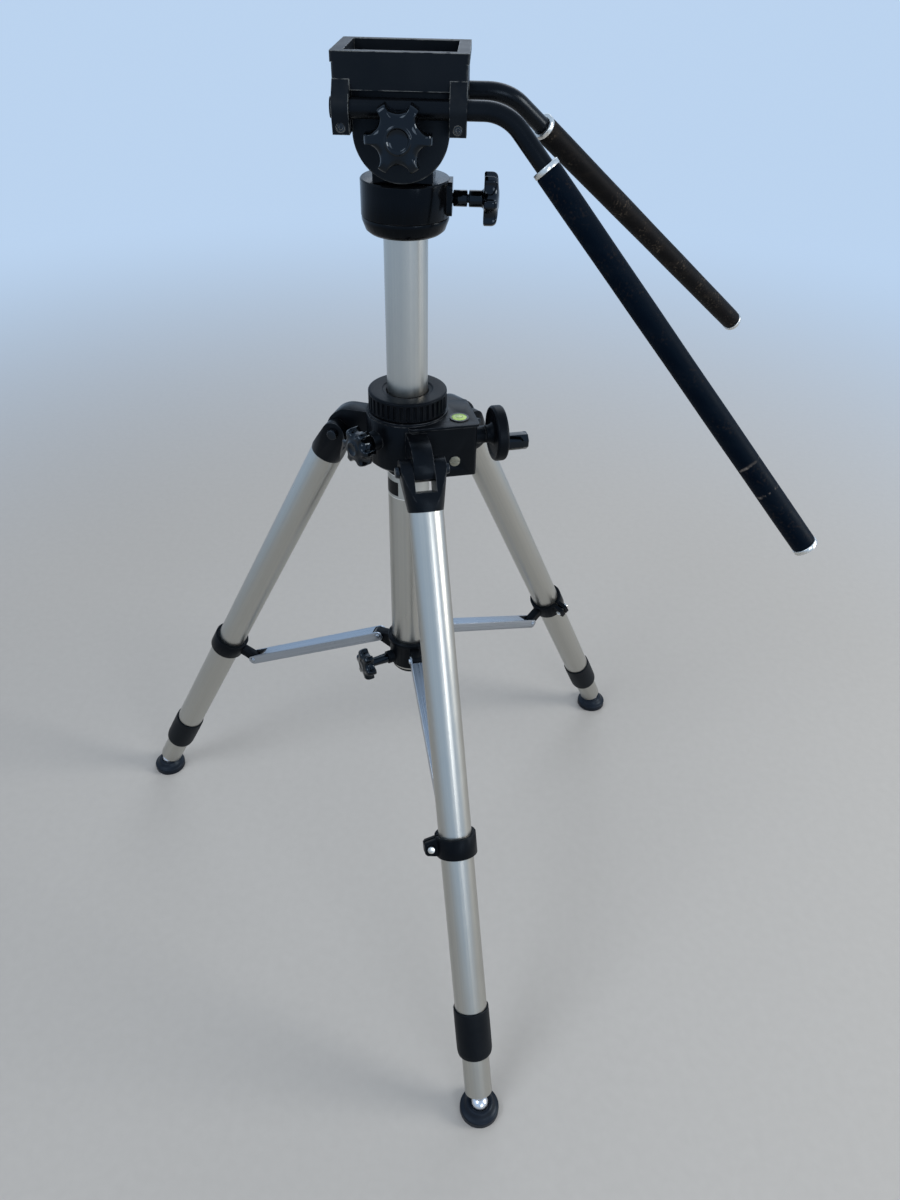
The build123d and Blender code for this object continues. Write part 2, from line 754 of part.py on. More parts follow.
with BuildPart() as lock_ring:
    with BuildSketch(Plane.XY.offset(lock_ring_bottom)):
        Circle(lock_ring_radius)
        Circle(column_radius + loose, mode=Mode.SUBTRACT)
    extrude(amount=lock_ring_height)
    chamfer(lock_ring.edges().group_by(Axis.Z)[-1].sort_by(SortBy.RADIUS)[-1], 1.4)
    with BuildSketch(Plane.XY.offset(lock_ring_bottom + 1.6)):
        with PolarLocations(lock_ring_radius + 0.3, lock_ring_flutes):
            Circle(1.35)
    extrude(amount=lock_ring_height, mode=Mode.SUBTRACT)
keep(lock_ring.part, "lock_ring")

with BuildPart() as level_ring:
    with BuildSketch(turned.offset(shoulder_top)):
        with Locations((bubble_x, bubble_y)):
            Circle(bubble_ring_radius)
            Circle(bubble_radius + running, mode=Mode.SUBTRACT)
    extrude(amount=0.9)
keep(level_ring.part, "level_ring")

with BuildPart() as level_vial:
    with BuildSketch(turned.offset(shoulder_top - 6.5)):
        with Locations((bubble_x, bubble_y)):
            Circle(bubble_radius)
    extrude(amount=8)
    fillet(level_vial.edges().filter_by(GeomType.CIRCLE).sort_by(Axis.Z)[-1], 1.2)
keep(level_vial.part, "level_vial")


def pinion_outline():
    """The pinion's section: involute flanks on a base circle, one line loop for all teeth."""
    base_radius = pinion_radius * cos(radians(20))
    tip_radius = pinion_radius + gear_addendum
    root_radius = pinion_radius - 1.25 * gear_module
    pitch_roll = tan(radians(20)) - radians(20)
    half_tooth = pi / (2 * pinion_teeth) - gear_backlash / (4 * pinion_radius) * 2
    points = []
    for tooth in range(pinion_teeth):
        middle = 2 * pi * (tooth + 0.5) / pinion_teeth
        flank = []
        for step in range(5):
            radius = base_radius + (tip_radius - base_radius) * step / 4
            roll = sqrt(max(0.0, (radius / base_radius) ** 2 - 1))
            turn = half_tooth + pitch_roll - (roll - atan2(roll, 1))
            flank.append((radius, turn))
        side = [(root_radius, flank[0][1])] + flank
        points += [(radius * cos(middle - turn), radius * sin(middle - turn)) for radius, turn in side]
        points += [(radius * cos(middle + turn), radius * sin(middle + turn)) for radius, turn in reversed(side)]
    return points


with BuildPart() as rack_pinion:
    with BuildSketch(pinion_plane):
        with BuildLine():
            Polyline(*pinion_outline(), close=True)
        make_face()
    extrude(amount=pinion_length / 2, both=True)
    with BuildSketch(pinion_plane):
        Circle(pinion_shaft_radius)
    extrude(amount=pinion_shaft_length / 2, both=True)
keep(rack_pinion.part, "rack_pinion")

with BuildPart() as crank_shaft:
    with BuildSketch(crank_plane.offset(crank_shaft_inner_end)):
        Circle(crank_shaft_radius)
    extrude(amount=crank_wheel_start + crank_web - crank_shaft_inner_end)
keep(crank_shaft.part, "crank_shaft")

wheel_end = crank_wheel_start + crank_wheel_width
with BuildPart() as crank_wheel:
    with BuildSketch(Plane(crank_plane.origin, x_dir=crank_plane.z_dir, z_dir=turned.z_dir)):
        with BuildLine():
            Polyline(
                (crank_boss_end + loose, crank_shaft_radius + running),
                (crank_boss_end + loose, crank_boss_radius),
                (crank_wheel_start + 1, crank_boss_radius + 2),
                (crank_wheel_start + 1, crank_wheel_radius - 7),
                (crank_wheel_start, crank_wheel_radius - 4),
                (crank_wheel_start, crank_wheel_radius - 1.5),
                (crank_wheel_start + 1.5, crank_wheel_radius),
                (wheel_end - 2, crank_wheel_radius),
                (wheel_end, crank_wheel_radius - 1.8),
                (wheel_end, crank_wheel_radius - 4),
                (crank_wheel_start + crank_web, crank_wheel_radius - 6.5),
                (crank_wheel_start + crank_web, crank_shaft_radius + running),
                close=True,
            )
        make_face()
    revolve(axis=Axis(crank_plane.origin, crank_plane.z_dir))
    with BuildSketch(crank_plane.offset(crank_wheel_start + crank_web)):
        with Locations((0, -crank_throw)):
            Circle(crank_grip_radius)
    extrude(amount=crank_wheel_width - crank_web)
    with BuildSketch(crank_plane.offset(crank_wheel_start)):
        with Locations((0, -crank_throw)):
            Circle(2.5)
    extrude(amount=crank_wheel_width + crank_grip_length - 4)
keep(crank_wheel.part, "crank_wheel")

with BuildPart() as crank_grip:
    with BuildSketch(crank_plane.offset(wheel_end + loose)):
        with Locations((0, -crank_throw)):
            RegularPolygon(crank_grip_radius, 8)
    extrude(amount=crank_grip_length)
    chamfer(crank_grip.faces().sort_by(Axis(crank_plane.origin, crank_plane.z_dir))[-1].edges(), 1.2)
    with BuildSketch(crank_plane.offset(wheel_end)):
        with Locations((0, -crank_throw)):
            Circle(2.5 + running)
    extrude(amount=crank_grip_length - 3, mode=Mode.SUBTRACT)
keep(crank_grip.part, "crank_grip")

column_knob = star_knob(
    spoke_plane(column_knob_angle, column_knob_reach, column_knob_height),
    6, 18, 0.24, 12, 4, column_radius + bush_wall - column_knob_reach, 7,
)
keep(column_knob, "column_lock_knob")

# ---------------------------------------------------------------- centre column
rack_pitch = pi * gear_module
rack_length = rack_tooth_count * rack_pitch
with BuildPart() as centre_column:
    with BuildSketch(Plane.XY.offset(column_bottom)):
        Circle(column_radius)
        Circle(column_radius - column_wall, mode=Mode.SUBTRACT)
    extrude(amount=column_top - column_bottom)
    rack_top = Plane((0, 0, rack_start + rack_length + running), x_dir=rack_outwards, z_dir=(0, 0, 1))
    with BuildSketch(rack_top):
        with Locations((column_radius, 0)):
            Rectangle(4 * column_wall, rack_width + 2 * running)
    extrude(amount=-rack_length - 2 * running, mode=Mode.SUBTRACT)
keep(centre_column.part, "centre_column")

# The rack's teeth stand half a pitch from the pinion's, so that a tooth meets a space.
tooth_half = rack_pitch / 4 - gear_backlash / 2
dedendum = 1.25 * gear_module
flank_slope = tan(radians(20))
with BuildPart() as column_rack:
    with BuildSketch(Plane((0, 0, 0), x_dir=rack_outwards, z_dir=pinion_plane.z_dir)):
        with BuildLine():
            root = rack_pitch_reach - dedendum
            points = [(rack_tip_reach - rack_thickness, rack_start), (root, rack_start)]
            teeth_below = round((crank_height - rack_start) / rack_pitch) - 1
            for tooth in range(rack_tooth_count - 2):
                height = crank_height + (tooth - teeth_below) * rack_pitch
                points += [
                    (root, height - tooth_half - dedendum * flank_slope),
                    (rack_tip_reach, height - tooth_half + gear_addendum * flank_slope),
                    (rack_tip_reach, height + tooth_half - gear_addendum * flank_slope),
                    (root, height + tooth_half + dedendum * flank_slope),
                ]
            points += [(root, rack_start + rack_length), (rack_tip_reach - rack_thickness, rack_start + rack_length)]
            Polyline(*points, close=True)
        make_face()
    extrude(amount=rack_width / 2, both=True)
keep(column_rack.part, "column_rack")

# ---------------------------------------------------------------- head base and drum
with BuildPart() as head_base:
    with BuildSketch(Plane.XZ):
        with BuildLine():
            Polyline(
                (0, column_top - 18),
                (column_radius - column_wall - running, column_top - 18),
                (column_radius - column_wall - running, column_top),
                (head_base_low_radius - 3, column_top),
                (head_base_low_radius, column_top + 2.5),
                (head_base_radius, head_base_top - 3),
                (head_base_radius, head_base_top),
                (spigot_radius, head_base_top),
                (spigot_radius, drum_top - 7),
                (0, drum_top - 7),
                close=True,
            )
        make_face()
    revolve(axis=Axis.Z)
keep(head_base.part, "head_base")

drum_bottom = head_base_top + drum_gap
with BuildPart() as pan_drum:
    with BuildSketch(Plane.XY.offset(drum_bottom)):
        Circle(drum_radius)
    extrude(amount=drum_top - drum_bottom)
    chamfer(pan_drum.edges().group_by(Axis.Z)[-1], 1)
    with BuildSketch(Plane.YZ):
        with Locations((0, (drum_bottom + drum_top) / 2)):
            RectangleRounded(2 * pan_boss_half_width, drum_top - drum_bottom - 2, 4)
    extrude(amount=pan_boss_end)
    with BuildSketch(Plane.XY.offset(head_base_top)):
        Circle(spigot_radius + running)
    extrude(amount=drum_top - 6.5 - head_base_top, mode=Mode.SUBTRACT)
    with BuildSketch(Plane.YZ.offset(spigot_radius)):
        with Locations((0, pan_knob_height)):
            Circle(4 + running)
    extrude(amount=pan_boss_end, mode=Mode.SUBTRACT)
keep(pan_drum.part, "pan_drum")

pan_knob_plane = Plane((pan_boss_end + pan_collar_length + 1, 0, pan_knob_height), x_dir=(0, 1, 0), z_dir=(1, 0, 0))
pan_star = star_knob(
    pan_knob_plane, 6, pan_knob_radius, 0.26, pan_knob_length, 4, spigot_radius + 0.6 - pan_knob_plane.origin.X, 9
)
with BuildPart() as pan_knob:
    add(pan_star)
    with BuildSketch(pan_knob_plane.offset(-pan_collar_length)):
        Circle(pan_collar_radius)
    extrude(amount=pan_collar_length)
keep(pan_knob.part, "pan_lock_knob")

# ---------------------------------------------------------------- tilt yoke, cheeks and platform
with BuildPart() as tilt_yoke:
    with BuildSketch(Plane.XZ):
        with BuildLine():
            Polyline(
                (-yoke_top_radius, tilt_height),
                (-yoke_half_length, drum_top + 8),
                (-yoke_half_length, drum_top),
                (yoke_half_length, drum_top),
                (yoke_half_length, drum_top + 8),
                (yoke_top_radius, tilt_height),
                close=True,
            )
        make_face()
        with Locations((0, tilt_height)):
            Circle(yoke_top_radius)
    extrude(amount=yoke_half_width, both=True)
    with BuildSketch(Plane.XZ):
        with Locations((0, tilt_height)):
            Circle(tilt_shaft_radius + running)
    extrude(amount=2 * yoke_half_width, both=True, mode=Mode.SUBTRACT)
keep(tilt_yoke.part, "tilt_yoke")

cheek_inside = yoke_half_width + cheek_gap
cheek_outside = cheek_inside + cheek_thickness
with BuildPart() as tilt_cheeks:
    for side in (-1, 1):
        with BuildSketch(Plane((0, side * cheek_inside, 0), x_dir=(1, 0, 0), z_dir=(0, side, 0))):
            with Locations((0, -side * tilt_height)):
                Circle(cheek_radius)
            with Locations((0, -side * (tilt_height + platform_bottom) / 2)):
                Rectangle(2 * cheek_radius, platform_bottom - tilt_height)
        extrude(amount=cheek_thickness)
        with BuildSketch(Plane.XY.offset(platform_bottom)):
            with Locations((0, 0)):
                Rectangle(4 * cheek_radius, 4 * cheek_radius)
        extrude(amount=cheek_radius, mode=Mode.SUBTRACT)
    with BuildSketch(Plane.XY.offset(platform_bottom - bridge_thickness)):
        Rectangle(2 * cheek_radius, 2 * cheek_outside)
    extrude(amount=bridge_thickness)
    with BuildSketch(Plane.XZ):
        with Locations((0, tilt_height)):
            Circle(tilt_shaft_radius + running)
    extrude(amount=2 * cheek_outside, both=True, mode=Mode.SUBTRACT)
keep(tilt_cheeks.part, "tilt_cheeks")

with BuildPart() as tilt_shaft:
    with BuildSketch(Plane((0, cheek_outside + 1, tilt_height), x_dir=(1, 0, 0), z_dir=(0, -1, 0))):
        Circle(tilt_shaft_radius)
    extrude(amount=cheek_outside + 1 + handle_offset + handle_tube_radius + 4)
    with BuildSketch(Plane((0, cheek_outside + loose, tilt_height), x_dir=(1, 0, 0), z_dir=(0, 1, 0))):
        Circle(9)
    extrude(amount=4, taper=12)
keep(tilt_shaft.part, "tilt_shaft")

# The knob's lobes pass outside the near handle's tube, and its stem passes below it.
tilt_knob_back = handle_offset + handle_tube_radius + tilt_knob_gap
tilt_stem_length = tilt_knob_back - cheek_outside - loose
tilt_knob_plane = Plane((0, -tilt_knob_back, tilt_height), x_dir=(1, 0, 0), z_dir=(0, -1, 0))
tilt_star = star_knob(
    tilt_knob_plane, 6, tilt_knob_radius, 0.31, tilt_knob_length, tilt_knob_stem_radius, -tilt_stem_length, 9
)
with BuildPart() as tilt_knob:
    add(tilt_star)
    with BuildSketch(tilt_knob_plane.offset(-tilt_stem_length)):
        Circle(tilt_shaft_radius + running)
    extrude(amount=tilt_stem_length + 4, mode=Mode.SUBTRACT)
keep(tilt_knob.part, "tilt_lock_knob")

clamp_x = platform_length / 2 - clamp_width / 2
clamp_radius = handle_tube_radius + clamp_wall
clamp_seat = handle_offset + 4.5  # where the screw heads bear, inside the clamp's outer face
with BuildPart() as camera_platform:
    with BuildSketch(Plane.XY.offset(platform_bottom)):
        RectangleRounded(platform_length, platform_depth, 1.5)
    extrude(amount=platform_top - platform_bottom)
    with BuildSketch(Plane.XY.offset(platform_top - platform_lip_height)):
        RectangleRounded(platform_length + 2 * platform_lip, platform_depth, 1.5)
    extrude(amount=platform_lip_height)
    with BuildSketch(Plane.XY.offset(platform_bottom + platform_floor)):
        Rectangle(platform_length - 2 * platform_wall, platform_depth - 2 * platform_wall)
    extrude(amount=platform_top - platform_bottom, mode=Mode.SUBTRACT)
    for side in (-1, 1):
        with BuildSketch(Plane.YZ.offset(-platform_length / 2), Plane.YZ.offset(platform_length / 2 - clamp_width)):
            with Locations((side * handle_offset, handle_height)):
                Circle(clamp_radius)
            with Locations((side * (handle_offset - 1.5), (clamp_bottom + 1 + handle_height) / 2)):
                Rectangle(2 * clamp_radius - 5, handle_height - clamp_bottom - 1)
            with Locations((side * (platform_depth / 2 - 6), platform_bottom + 3)):
                Rectangle(12, 8)
            make_hull()
        extrude(amount=clamp_width)
        with BuildSketch(Plane.YZ.offset(-platform_length)):
            with Locations((side * handle_offset, handle_height)):
                Circle(handle_tube_radius + running)
            with Locations((side * handle_offset, clamp_bottom)):
                Rectangle(clamp_slit, 2 * (handle_height - clamp_bottom - handle_tube_radius) + 2)
        extrude(amount=2 * platform_length, mode=Mode.SUBTRACT)
        with BuildSketch(Plane((0, side * (handle_offset + clamp_radius), clamp_screw_height), x_dir=(1, 0, 0), z_dir=(0, side, 0))):
            with Locations((-clamp_x, 0), (clamp_x, 0)):
                Circle(clamp_screw_radius + running)
        extrude(amount=-2 * clamp_radius, mode=Mode.SUBTRACT)
        with BuildSketch(Plane((0, side * clamp_seat, clamp_screw_height), x_dir=(1, 0, 0), z_dir=(0, side, 0))):
            with Locations((-clamp_x, 0), (clamp_x, 0)):
                Circle(clamp_head_radius + loose)
        extrude(amount=clamp_radius, mode=Mode.SUBTRACT)
    with BuildSketch(Plane.XY.offset(platform_top)):
        with GridLocations(rim_hole_spacing_x, rim_hole_spacing_y, 2, 2):
            Circle(rim_hole_radius)
    extrude(amount=-rim_hole_depth, mode=Mode.SUBTRACT)
keep(camera_platform.part, "camera_platform")

with BuildPart() as clamp_screws:
    for side in (-1, 1):
        seat = Plane((0, side * clamp_seat, clamp_screw_height), x_dir=(1, 0, 0), z_dir=(0, side, 0))
        for radius, length in ((clamp_screw_radius, -12.0), (clamp_head_radius, 2.2)):
            with BuildSketch(seat):
                with Locations((-clamp_x, 0), (clamp_x, 0)):
                    Circle(radius)
            extrude(amount=length)
        with BuildSketch(seat.offset(2.2)):
            with Locations((-clamp_x, 0), (clamp_x, 0)):
                RegularPolygon(1.5, 6)
        extrude(amount=-1.5, mode=Mode.SUBTRACT)
keep(clamp_screws.part, "clamp_screws")

# ---------------------------------------------------------------- pan handles
bend = radians(handle_bend_angle)
handle_start = -platform_length / 2 - 1.5
tube_end = grip_start + 2 * ferrule_length + grip_length - 6
for name, side, corner_x, splay in (("near", -1, near_corner_x, near_splay_angle), ("far", 1, far_corner_x, far_splay_angle)):
    lean = radians(splay)
    y_side = side * handle_offset
    down_handle = Vector(cos(bend), side * sin(bend) * sin(lean), -sin(bend) * cos(lean))
    corner = Vector(corner_x, y_side, handle_height)

    with BuildPart() as handle_tube:
        with BuildLine():
            FilletPolyline((handle_start, y_side, handle_height), corner, corner + down_handle * tube_end, radius=handle_bend_radius)
        with BuildSketch(Plane((handle_start, y_side, handle_height), x_dir=(0, 1, 0), z_dir=(1, 0, 0))):
            Circle(handle_tube_radius)
            Circle(handle_tube_radius - handle_tube_wall, mode=Mode.SUBTRACT)
        sweep()
    keep(handle_tube.part, f"{name}_handle_tube")

    def across_handle(distance):
        return Plane(corner + down_handle * distance, x_dir=(0, cos(lean), side * sin(lean)), z_dir=down_handle)

    with BuildPart() as grip:
        with BuildSketch(across_handle(grip_start + ferrule_length)):
            Circle(grip_radius)
            Circle(handle_tube_radius + running, mode=Mode.SUBTRACT)
        extrude(amount=grip_length)
    keep(grip.part, f"{name}_grip")

    with BuildPart() as trim:
        with BuildSketch(across_handle(grip_start)):
            Circle(ferrule_radius)
            Circle(handle_tube_radius + running, mode=Mode.SUBTRACT)
        extrude(amount=ferrule_length)
        with BuildSketch(across_handle(grip_start + ferrule_length + grip_length)):
            Circle(ferrule_radius)
            Circle(handle_tube_radius + running, mode=Mode.SUBTRACT)
        extrude(amount=ferrule_length)
        with BuildSketch(across_handle(grip_start + ferrule_length + grip_length + ferrule_length - 1)):
            Circle(ferrule_radius)
        extrude(amount=2, taper=45)
    keep(trim.part, f"{name}_grip_trim")

# ---------------------------------------------------------------- write the pieces
os.makedirs("parts", exist_ok=True)
for name, piece in pieces.items():
    export_step(piece, f"parts/{name}.step")
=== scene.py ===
# Camera tripod with a fluid head: finishes, moulded detail, studio floor and light.
import json
from math import asin, cos, exp, pi, radians, sin

import bmesh
import bpy
import numpy as np
from mathutils import Euler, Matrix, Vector

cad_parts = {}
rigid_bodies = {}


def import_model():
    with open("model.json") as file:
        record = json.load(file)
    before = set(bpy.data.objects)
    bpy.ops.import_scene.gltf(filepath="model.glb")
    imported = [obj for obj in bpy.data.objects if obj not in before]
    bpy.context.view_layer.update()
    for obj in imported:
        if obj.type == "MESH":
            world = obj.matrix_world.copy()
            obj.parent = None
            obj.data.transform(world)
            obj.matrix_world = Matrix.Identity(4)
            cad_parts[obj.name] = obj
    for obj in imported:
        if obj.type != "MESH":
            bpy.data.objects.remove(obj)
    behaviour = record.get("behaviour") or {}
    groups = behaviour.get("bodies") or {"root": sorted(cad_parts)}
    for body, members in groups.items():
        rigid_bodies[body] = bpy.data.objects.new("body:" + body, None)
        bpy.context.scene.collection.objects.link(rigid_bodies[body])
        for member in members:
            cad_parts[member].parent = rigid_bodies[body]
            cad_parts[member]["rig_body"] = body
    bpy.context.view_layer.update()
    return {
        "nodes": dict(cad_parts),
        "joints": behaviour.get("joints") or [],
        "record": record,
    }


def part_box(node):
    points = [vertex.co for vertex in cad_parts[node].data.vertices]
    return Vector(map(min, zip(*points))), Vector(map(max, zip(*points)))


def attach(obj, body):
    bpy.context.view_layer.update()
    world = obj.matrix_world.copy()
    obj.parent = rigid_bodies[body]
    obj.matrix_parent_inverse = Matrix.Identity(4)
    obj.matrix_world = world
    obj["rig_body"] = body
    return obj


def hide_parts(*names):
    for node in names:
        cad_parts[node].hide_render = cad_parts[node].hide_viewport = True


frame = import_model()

scene = bpy.context.scene
record = frame["record"]
scene.view_settings.view_transform = "Standard"
print("model loaded:", len(frame["nodes"]), "nodes")

# Camera: place in metres, angles in degrees, lens in millimetres.
cameraValues = {"place": (0.0589, -0.7782, 0.9797), "yaw": 1.17, "pitch": 37.42, "roll": 1.261, "lens": 27.44}


def addCamera(values):
    data = bpy.data.cameras.new("camera")
    data.lens = values["lens"]
    data.sensor_width = 36
    data.clip_start = 0.01
    camera = bpy.data.objects.new("camera", data)
    turn = Euler((radians(90 - values["pitch"]), 0, radians(values["yaw"])), "XYZ").to_matrix()
    roll = Euler((0, 0, radians(values["roll"])), "XYZ").to_matrix()
    camera.matrix_world = (turn @ roll).to_4x4()
    camera.location = values["place"]
    scene.collection.objects.link(camera)
    scene.camera = camera


addCamera(cameraValues)

# Helpers for shader nodes.


def newGroup(name, inputs, outputs):
    # An empty shader group: inputs are (name, kind, default) and outputs are (name, kind).
    group = bpy.data.node_groups.new(name, "ShaderNodeTree")
    for label, kind, default in inputs:
        socket = group.interface.new_socket(label, in_out="INPUT", socket_type=kind)
        socket.default_value = default
    for label, kind in outputs:
        group.interface.new_socket(label, in_out="OUTPUT", socket_type=kind)
    return group, group.nodes.new("NodeGroupInput"), group.nodes.new("NodeGroupOutput")


def addNode(tree, kind, settings=None, inputs=None):
    node = tree.nodes.new(kind)
    for key, value in (settings or {}).items():
        setattr(node, key, value)
    for key, value in (inputs or {}).items():
        socket = node.inputs[key]
        if hasattr(value, "links"):
            tree.links.new(value, socket)
        else:
            socket.default_value = value
    return node


def mathNode(tree, operation, first, second=0.5, clamp=False):
    return addNode(
        tree, "ShaderNodeMath", {"operation": operation, "use_clamp": clamp}, {0: first, 1: second}
    ).outputs[0]


def mapRange(tree, value, low, high, toLow=0.0, toHigh=1.0):
    # Carries low..high to toLow..toHigh, held at the ends.
    inputs = {"Value": value, "From Min": low, "From Max": high, "To Min": toLow, "To Max": toHigh}
    return addNode(tree, "ShaderNodeMapRange", None, inputs).outputs[0]


# grain: a fine even mottle, 0..1 about 0.5, on the object's own coordinates
grain, grainIn, grainOut = newGroup(
    "grain",
    [("Scale", "NodeSocketFloat", 900.0), ("Detail", "NodeSocketFloat", 3.0)],
    [("Value", "NodeSocketFloat")],
)
place = addNode(grain, "ShaderNodeTexCoord")
noise = addNode(
    grain,
    "ShaderNodeTexNoise",
    None,
    {
        "Vector": place.outputs["Object"],
        "Scale": grainIn.outputs["Scale"],
        "Detail": grainIn.outputs["Detail"],
    },
)
grain.links.new(noise.outputs["Fac"], grainOut.inputs["Value"])

# streaks: noise drawn out along one direction, as drawn or extruded metal has
streaks, streaksIn, streaksOut = newGroup(
    "streaks",
    [
        ("Direction", "NodeSocketVector", (0, 0, 1)),
        ("Across", "NodeSocketFloat", 500.0),
        ("Along", "NodeSocketFloat", 6.0),
    ],
    [("Value", "NodeSocketFloat")],
)
place = addNode(streaks, "ShaderNodeTexCoord").outputs["Object"]
direction = streaksIn.outputs["Direction"]
run = addNode(
    streaks, "ShaderNodeVectorMath", {"operation": "DOT_PRODUCT"}, {0: place, 1: direction}
).outputs["Value"]
alongPart = addNode(
    streaks, "ShaderNodeVectorMath", {"operation": "SCALE"}, {0: direction, "Scale": run}
).outputs[0]
acrossPart = addNode(
    streaks, "ShaderNodeVectorMath", {"operation": "SUBTRACT"}, {0: place, 1: alongPart}
).outputs[0]
acrossScaled = addNode(
    streaks,
    "ShaderNodeVectorMath",
    {"operation": "SCALE"},
    {0: acrossPart, "Scale": streaksIn.outputs["Across"]},
).outputs[0]
alongScaled = addNode(
    streaks,
    "ShaderNodeVectorMath",
    {"operation": "SCALE"},
    {0: alongPart, "Scale": streaksIn.outputs["Along"]},
).outputs[0]
together = addNode(
    streaks, "ShaderNodeVectorMath", {"operation": "ADD"}, {0: acrossScaled, 1: alongScaled}
).outputs[0]
noise = addNode(streaks, "ShaderNodeTexNoise", None, {"Vector": together, "Scale": 1.0, "Detail": 4.0})
streaks.links.new(noise.outputs["Fac"], streaksOut.inputs["Value"])

# Edge mask: 1 - the cosine between a rounded normal and the true one, broken up by noise. The paler colour it
# puts on edges stands partly for wear and partly for a painted highlight.
edgeWearHighlightValues = {"gain": 9.0, "patches": (0.38, 0.62)}
edgeWearHighlight, edgeWearHighlightIn, edgeWearHighlightOut = newGroup(
    "edgeWearHighlight",
    [
        ("Width", "NodeSocketFloat", 0.0008),
        ("Amount", "NodeSocketFloat", 1.0),
        ("Scale", "NodeSocketFloat", 140.0),
    ],
    [("Mask", "NodeSocketFloat")],
)
rounded = addNode(edgeWearHighlight, "ShaderNodeBevel", {"samples": 4}, {"Radius": edgeWearHighlightIn.outputs["Width"]})
straight = addNode(edgeWearHighlight, "ShaderNodeNewGeometry")
same = addNode(
    edgeWearHighlight,
    "ShaderNodeVectorMath",
    {"operation": "DOT_PRODUCT"},
    {0: rounded.outputs[0], 1: straight.outputs["Normal"]},
).outputs["Value"]
edge = mathNode(edgeWearHighlight, "SUBTRACT", 1.0, same)
edge = mathNode(edgeWearHighlight, "MULTIPLY", edge, edgeWearHighlightValues["gain"], True)
place = addNode(edgeWearHighlight, "ShaderNodeTexCoord").outputs["Object"]
noise = addNode(
    edgeWearHighlight,
    "ShaderNodeTexNoise",
    None,
    {"Vector": place, "Scale": edgeWearHighlightIn.outputs["Scale"], "Detail": 5.0},
)
broken = mapRange(edgeWearHighlight, noise.outputs["Fac"], *edgeWearHighlightValues["patches"])
mask = mathNode(edgeWearHighlight, "MULTIPLY", edge, broken)
mask = mathNode(edgeWearHighlight, "MULTIPLY", mask, edgeWearHighlightIn.outputs["Amount"], True)
edgeWearHighlight.links.new(mask, edgeWearHighlightOut.inputs["Mask"])

# settledDust: patches of fine dust that gather on faces turned upwards, by the height of the normal
dustValues = {"upwards": (-0.1, 0.9), "patches": (0.42, 0.78)}
settledDust, dustIn, dustOut = newGroup(
    "settledDust",
    [("Amount", "NodeSocketFloat", 0.3), ("Scale", "NodeSocketFloat", 60.0)],
    [("Mask", "NodeSocketFloat")],
)
facing = addNode(
    settledDust,
    "ShaderNodeSeparateXYZ",
    None,
    {0: addNode(settledDust, "ShaderNodeNewGeometry").outputs["Normal"]},
).outputs["Z"]
upwards = mapRange(settledDust, facing, *dustValues["upwards"])
place = addNode(settledDust, "ShaderNodeTexCoord").outputs["Object"]
patches = addNode(
    settledDust,
    "ShaderNodeTexNoise",
    None,
    {"Vector": place, "Scale": dustIn.outputs["Scale"], "Detail": 8.0, "Roughness": 0.7},
)
patches = mapRange(settledDust, patches.outputs["Fac"], *dustValues["patches"])
mask = mathNode(settledDust, "MULTIPLY", upwards, patches)
mask = mathNode(settledDust, "MULTIPLY", mask, dustIn.outputs["Amount"], True)
settledDust.links.new(mask, dustOut.inputs["Mask"])


def useGroup(tree, group, inputs=None):
    node = addNode(tree, "ShaderNodeGroup", {"node_tree": group})
    for key, value in (inputs or {}).items():
        node.inputs[key].default_value = value
    return node.outputs[0]


def mixColour(tree, mask, first, second):
    node = addNode(tree, "ShaderNodeMix", {"data_type": "RGBA"})
    tree.links.new(mask, node.inputs[0])
    for index, value in ((6, first), (7, second)):
        if hasattr(value, "links"):
            tree.links.new(value, node.inputs[index])
        else:
            node.inputs[index].default_value = (*value, 1)
    return node.outputs[2]


def spread(tree, value, low, high):
    # Noise lies mostly between a quarter and three quarters.
    return mapRange(tree, value, 0.25, 0.75, low, high)


def startMaterial(name):
    material = bpy.data.materials.new(name)
    material.use_nodes = True
    tree = material.node_tree
    return material, tree, tree.nodes["Principled BSDF"]


metalValues = {"dustColour": (0.34, 0.32, 0.28), "dustScale": 45.0, "cloudScale": 35.0, "uneven": 0.03}


def drawnMetal(name, values):
    # Anodised or bare metal: long streaks move the colour, the roughness and a slight relief.
    material, tree, shader = startMaterial(name)
    lines = useGroup(
        tree,
        streaks,
        {"Direction": values["direction"], "Across": values["across"], "Along": values["along"]},
    )
    cloud = useGroup(tree, grain, {"Scale": metalValues["cloudScale"], "Detail": 6.0})
    colour = mixColour(tree, spread(tree, lines, 0, 1), values["dark"], values["light"])
    if values.get("dust"):
        dusty = useGroup(tree, settledDust, {"Amount": values["dust"], "Scale": metalValues["dustScale"]})
        colour = mixColour(tree, dusty, colour, metalValues["dustColour"])
    tree.links.new(colour, shader.inputs["Base Color"])
    rough = mathNode(
        tree,
        "ADD",
        spread(tree, lines, *values["roughness"]),
        spread(tree, cloud, -metalValues["uneven"], metalValues["uneven"]),
    )
    tree.links.new(rough, shader.inputs["Roughness"])
    shader.inputs["Metallic"].default_value = 1.0
    relief = addNode(
        tree, "ShaderNodeBump", None, {"Strength": values["relief"], "Distance": 0.0002, "Height": lines}
    )
    tree.links.new(relief.outputs[0], shader.inputs["Normal"])
    return material


darkValues = {
    "cloudScale": 28.0, "uneven": 0.04, "wearHighlightWidth": 0.0008, "wearHighlightScale": 160.0, "rubShine": 0.12,
    "dustScale": 70.0, "dustColour": (0.10, 0.098, 0.095), "dustRough": 0.3,
}


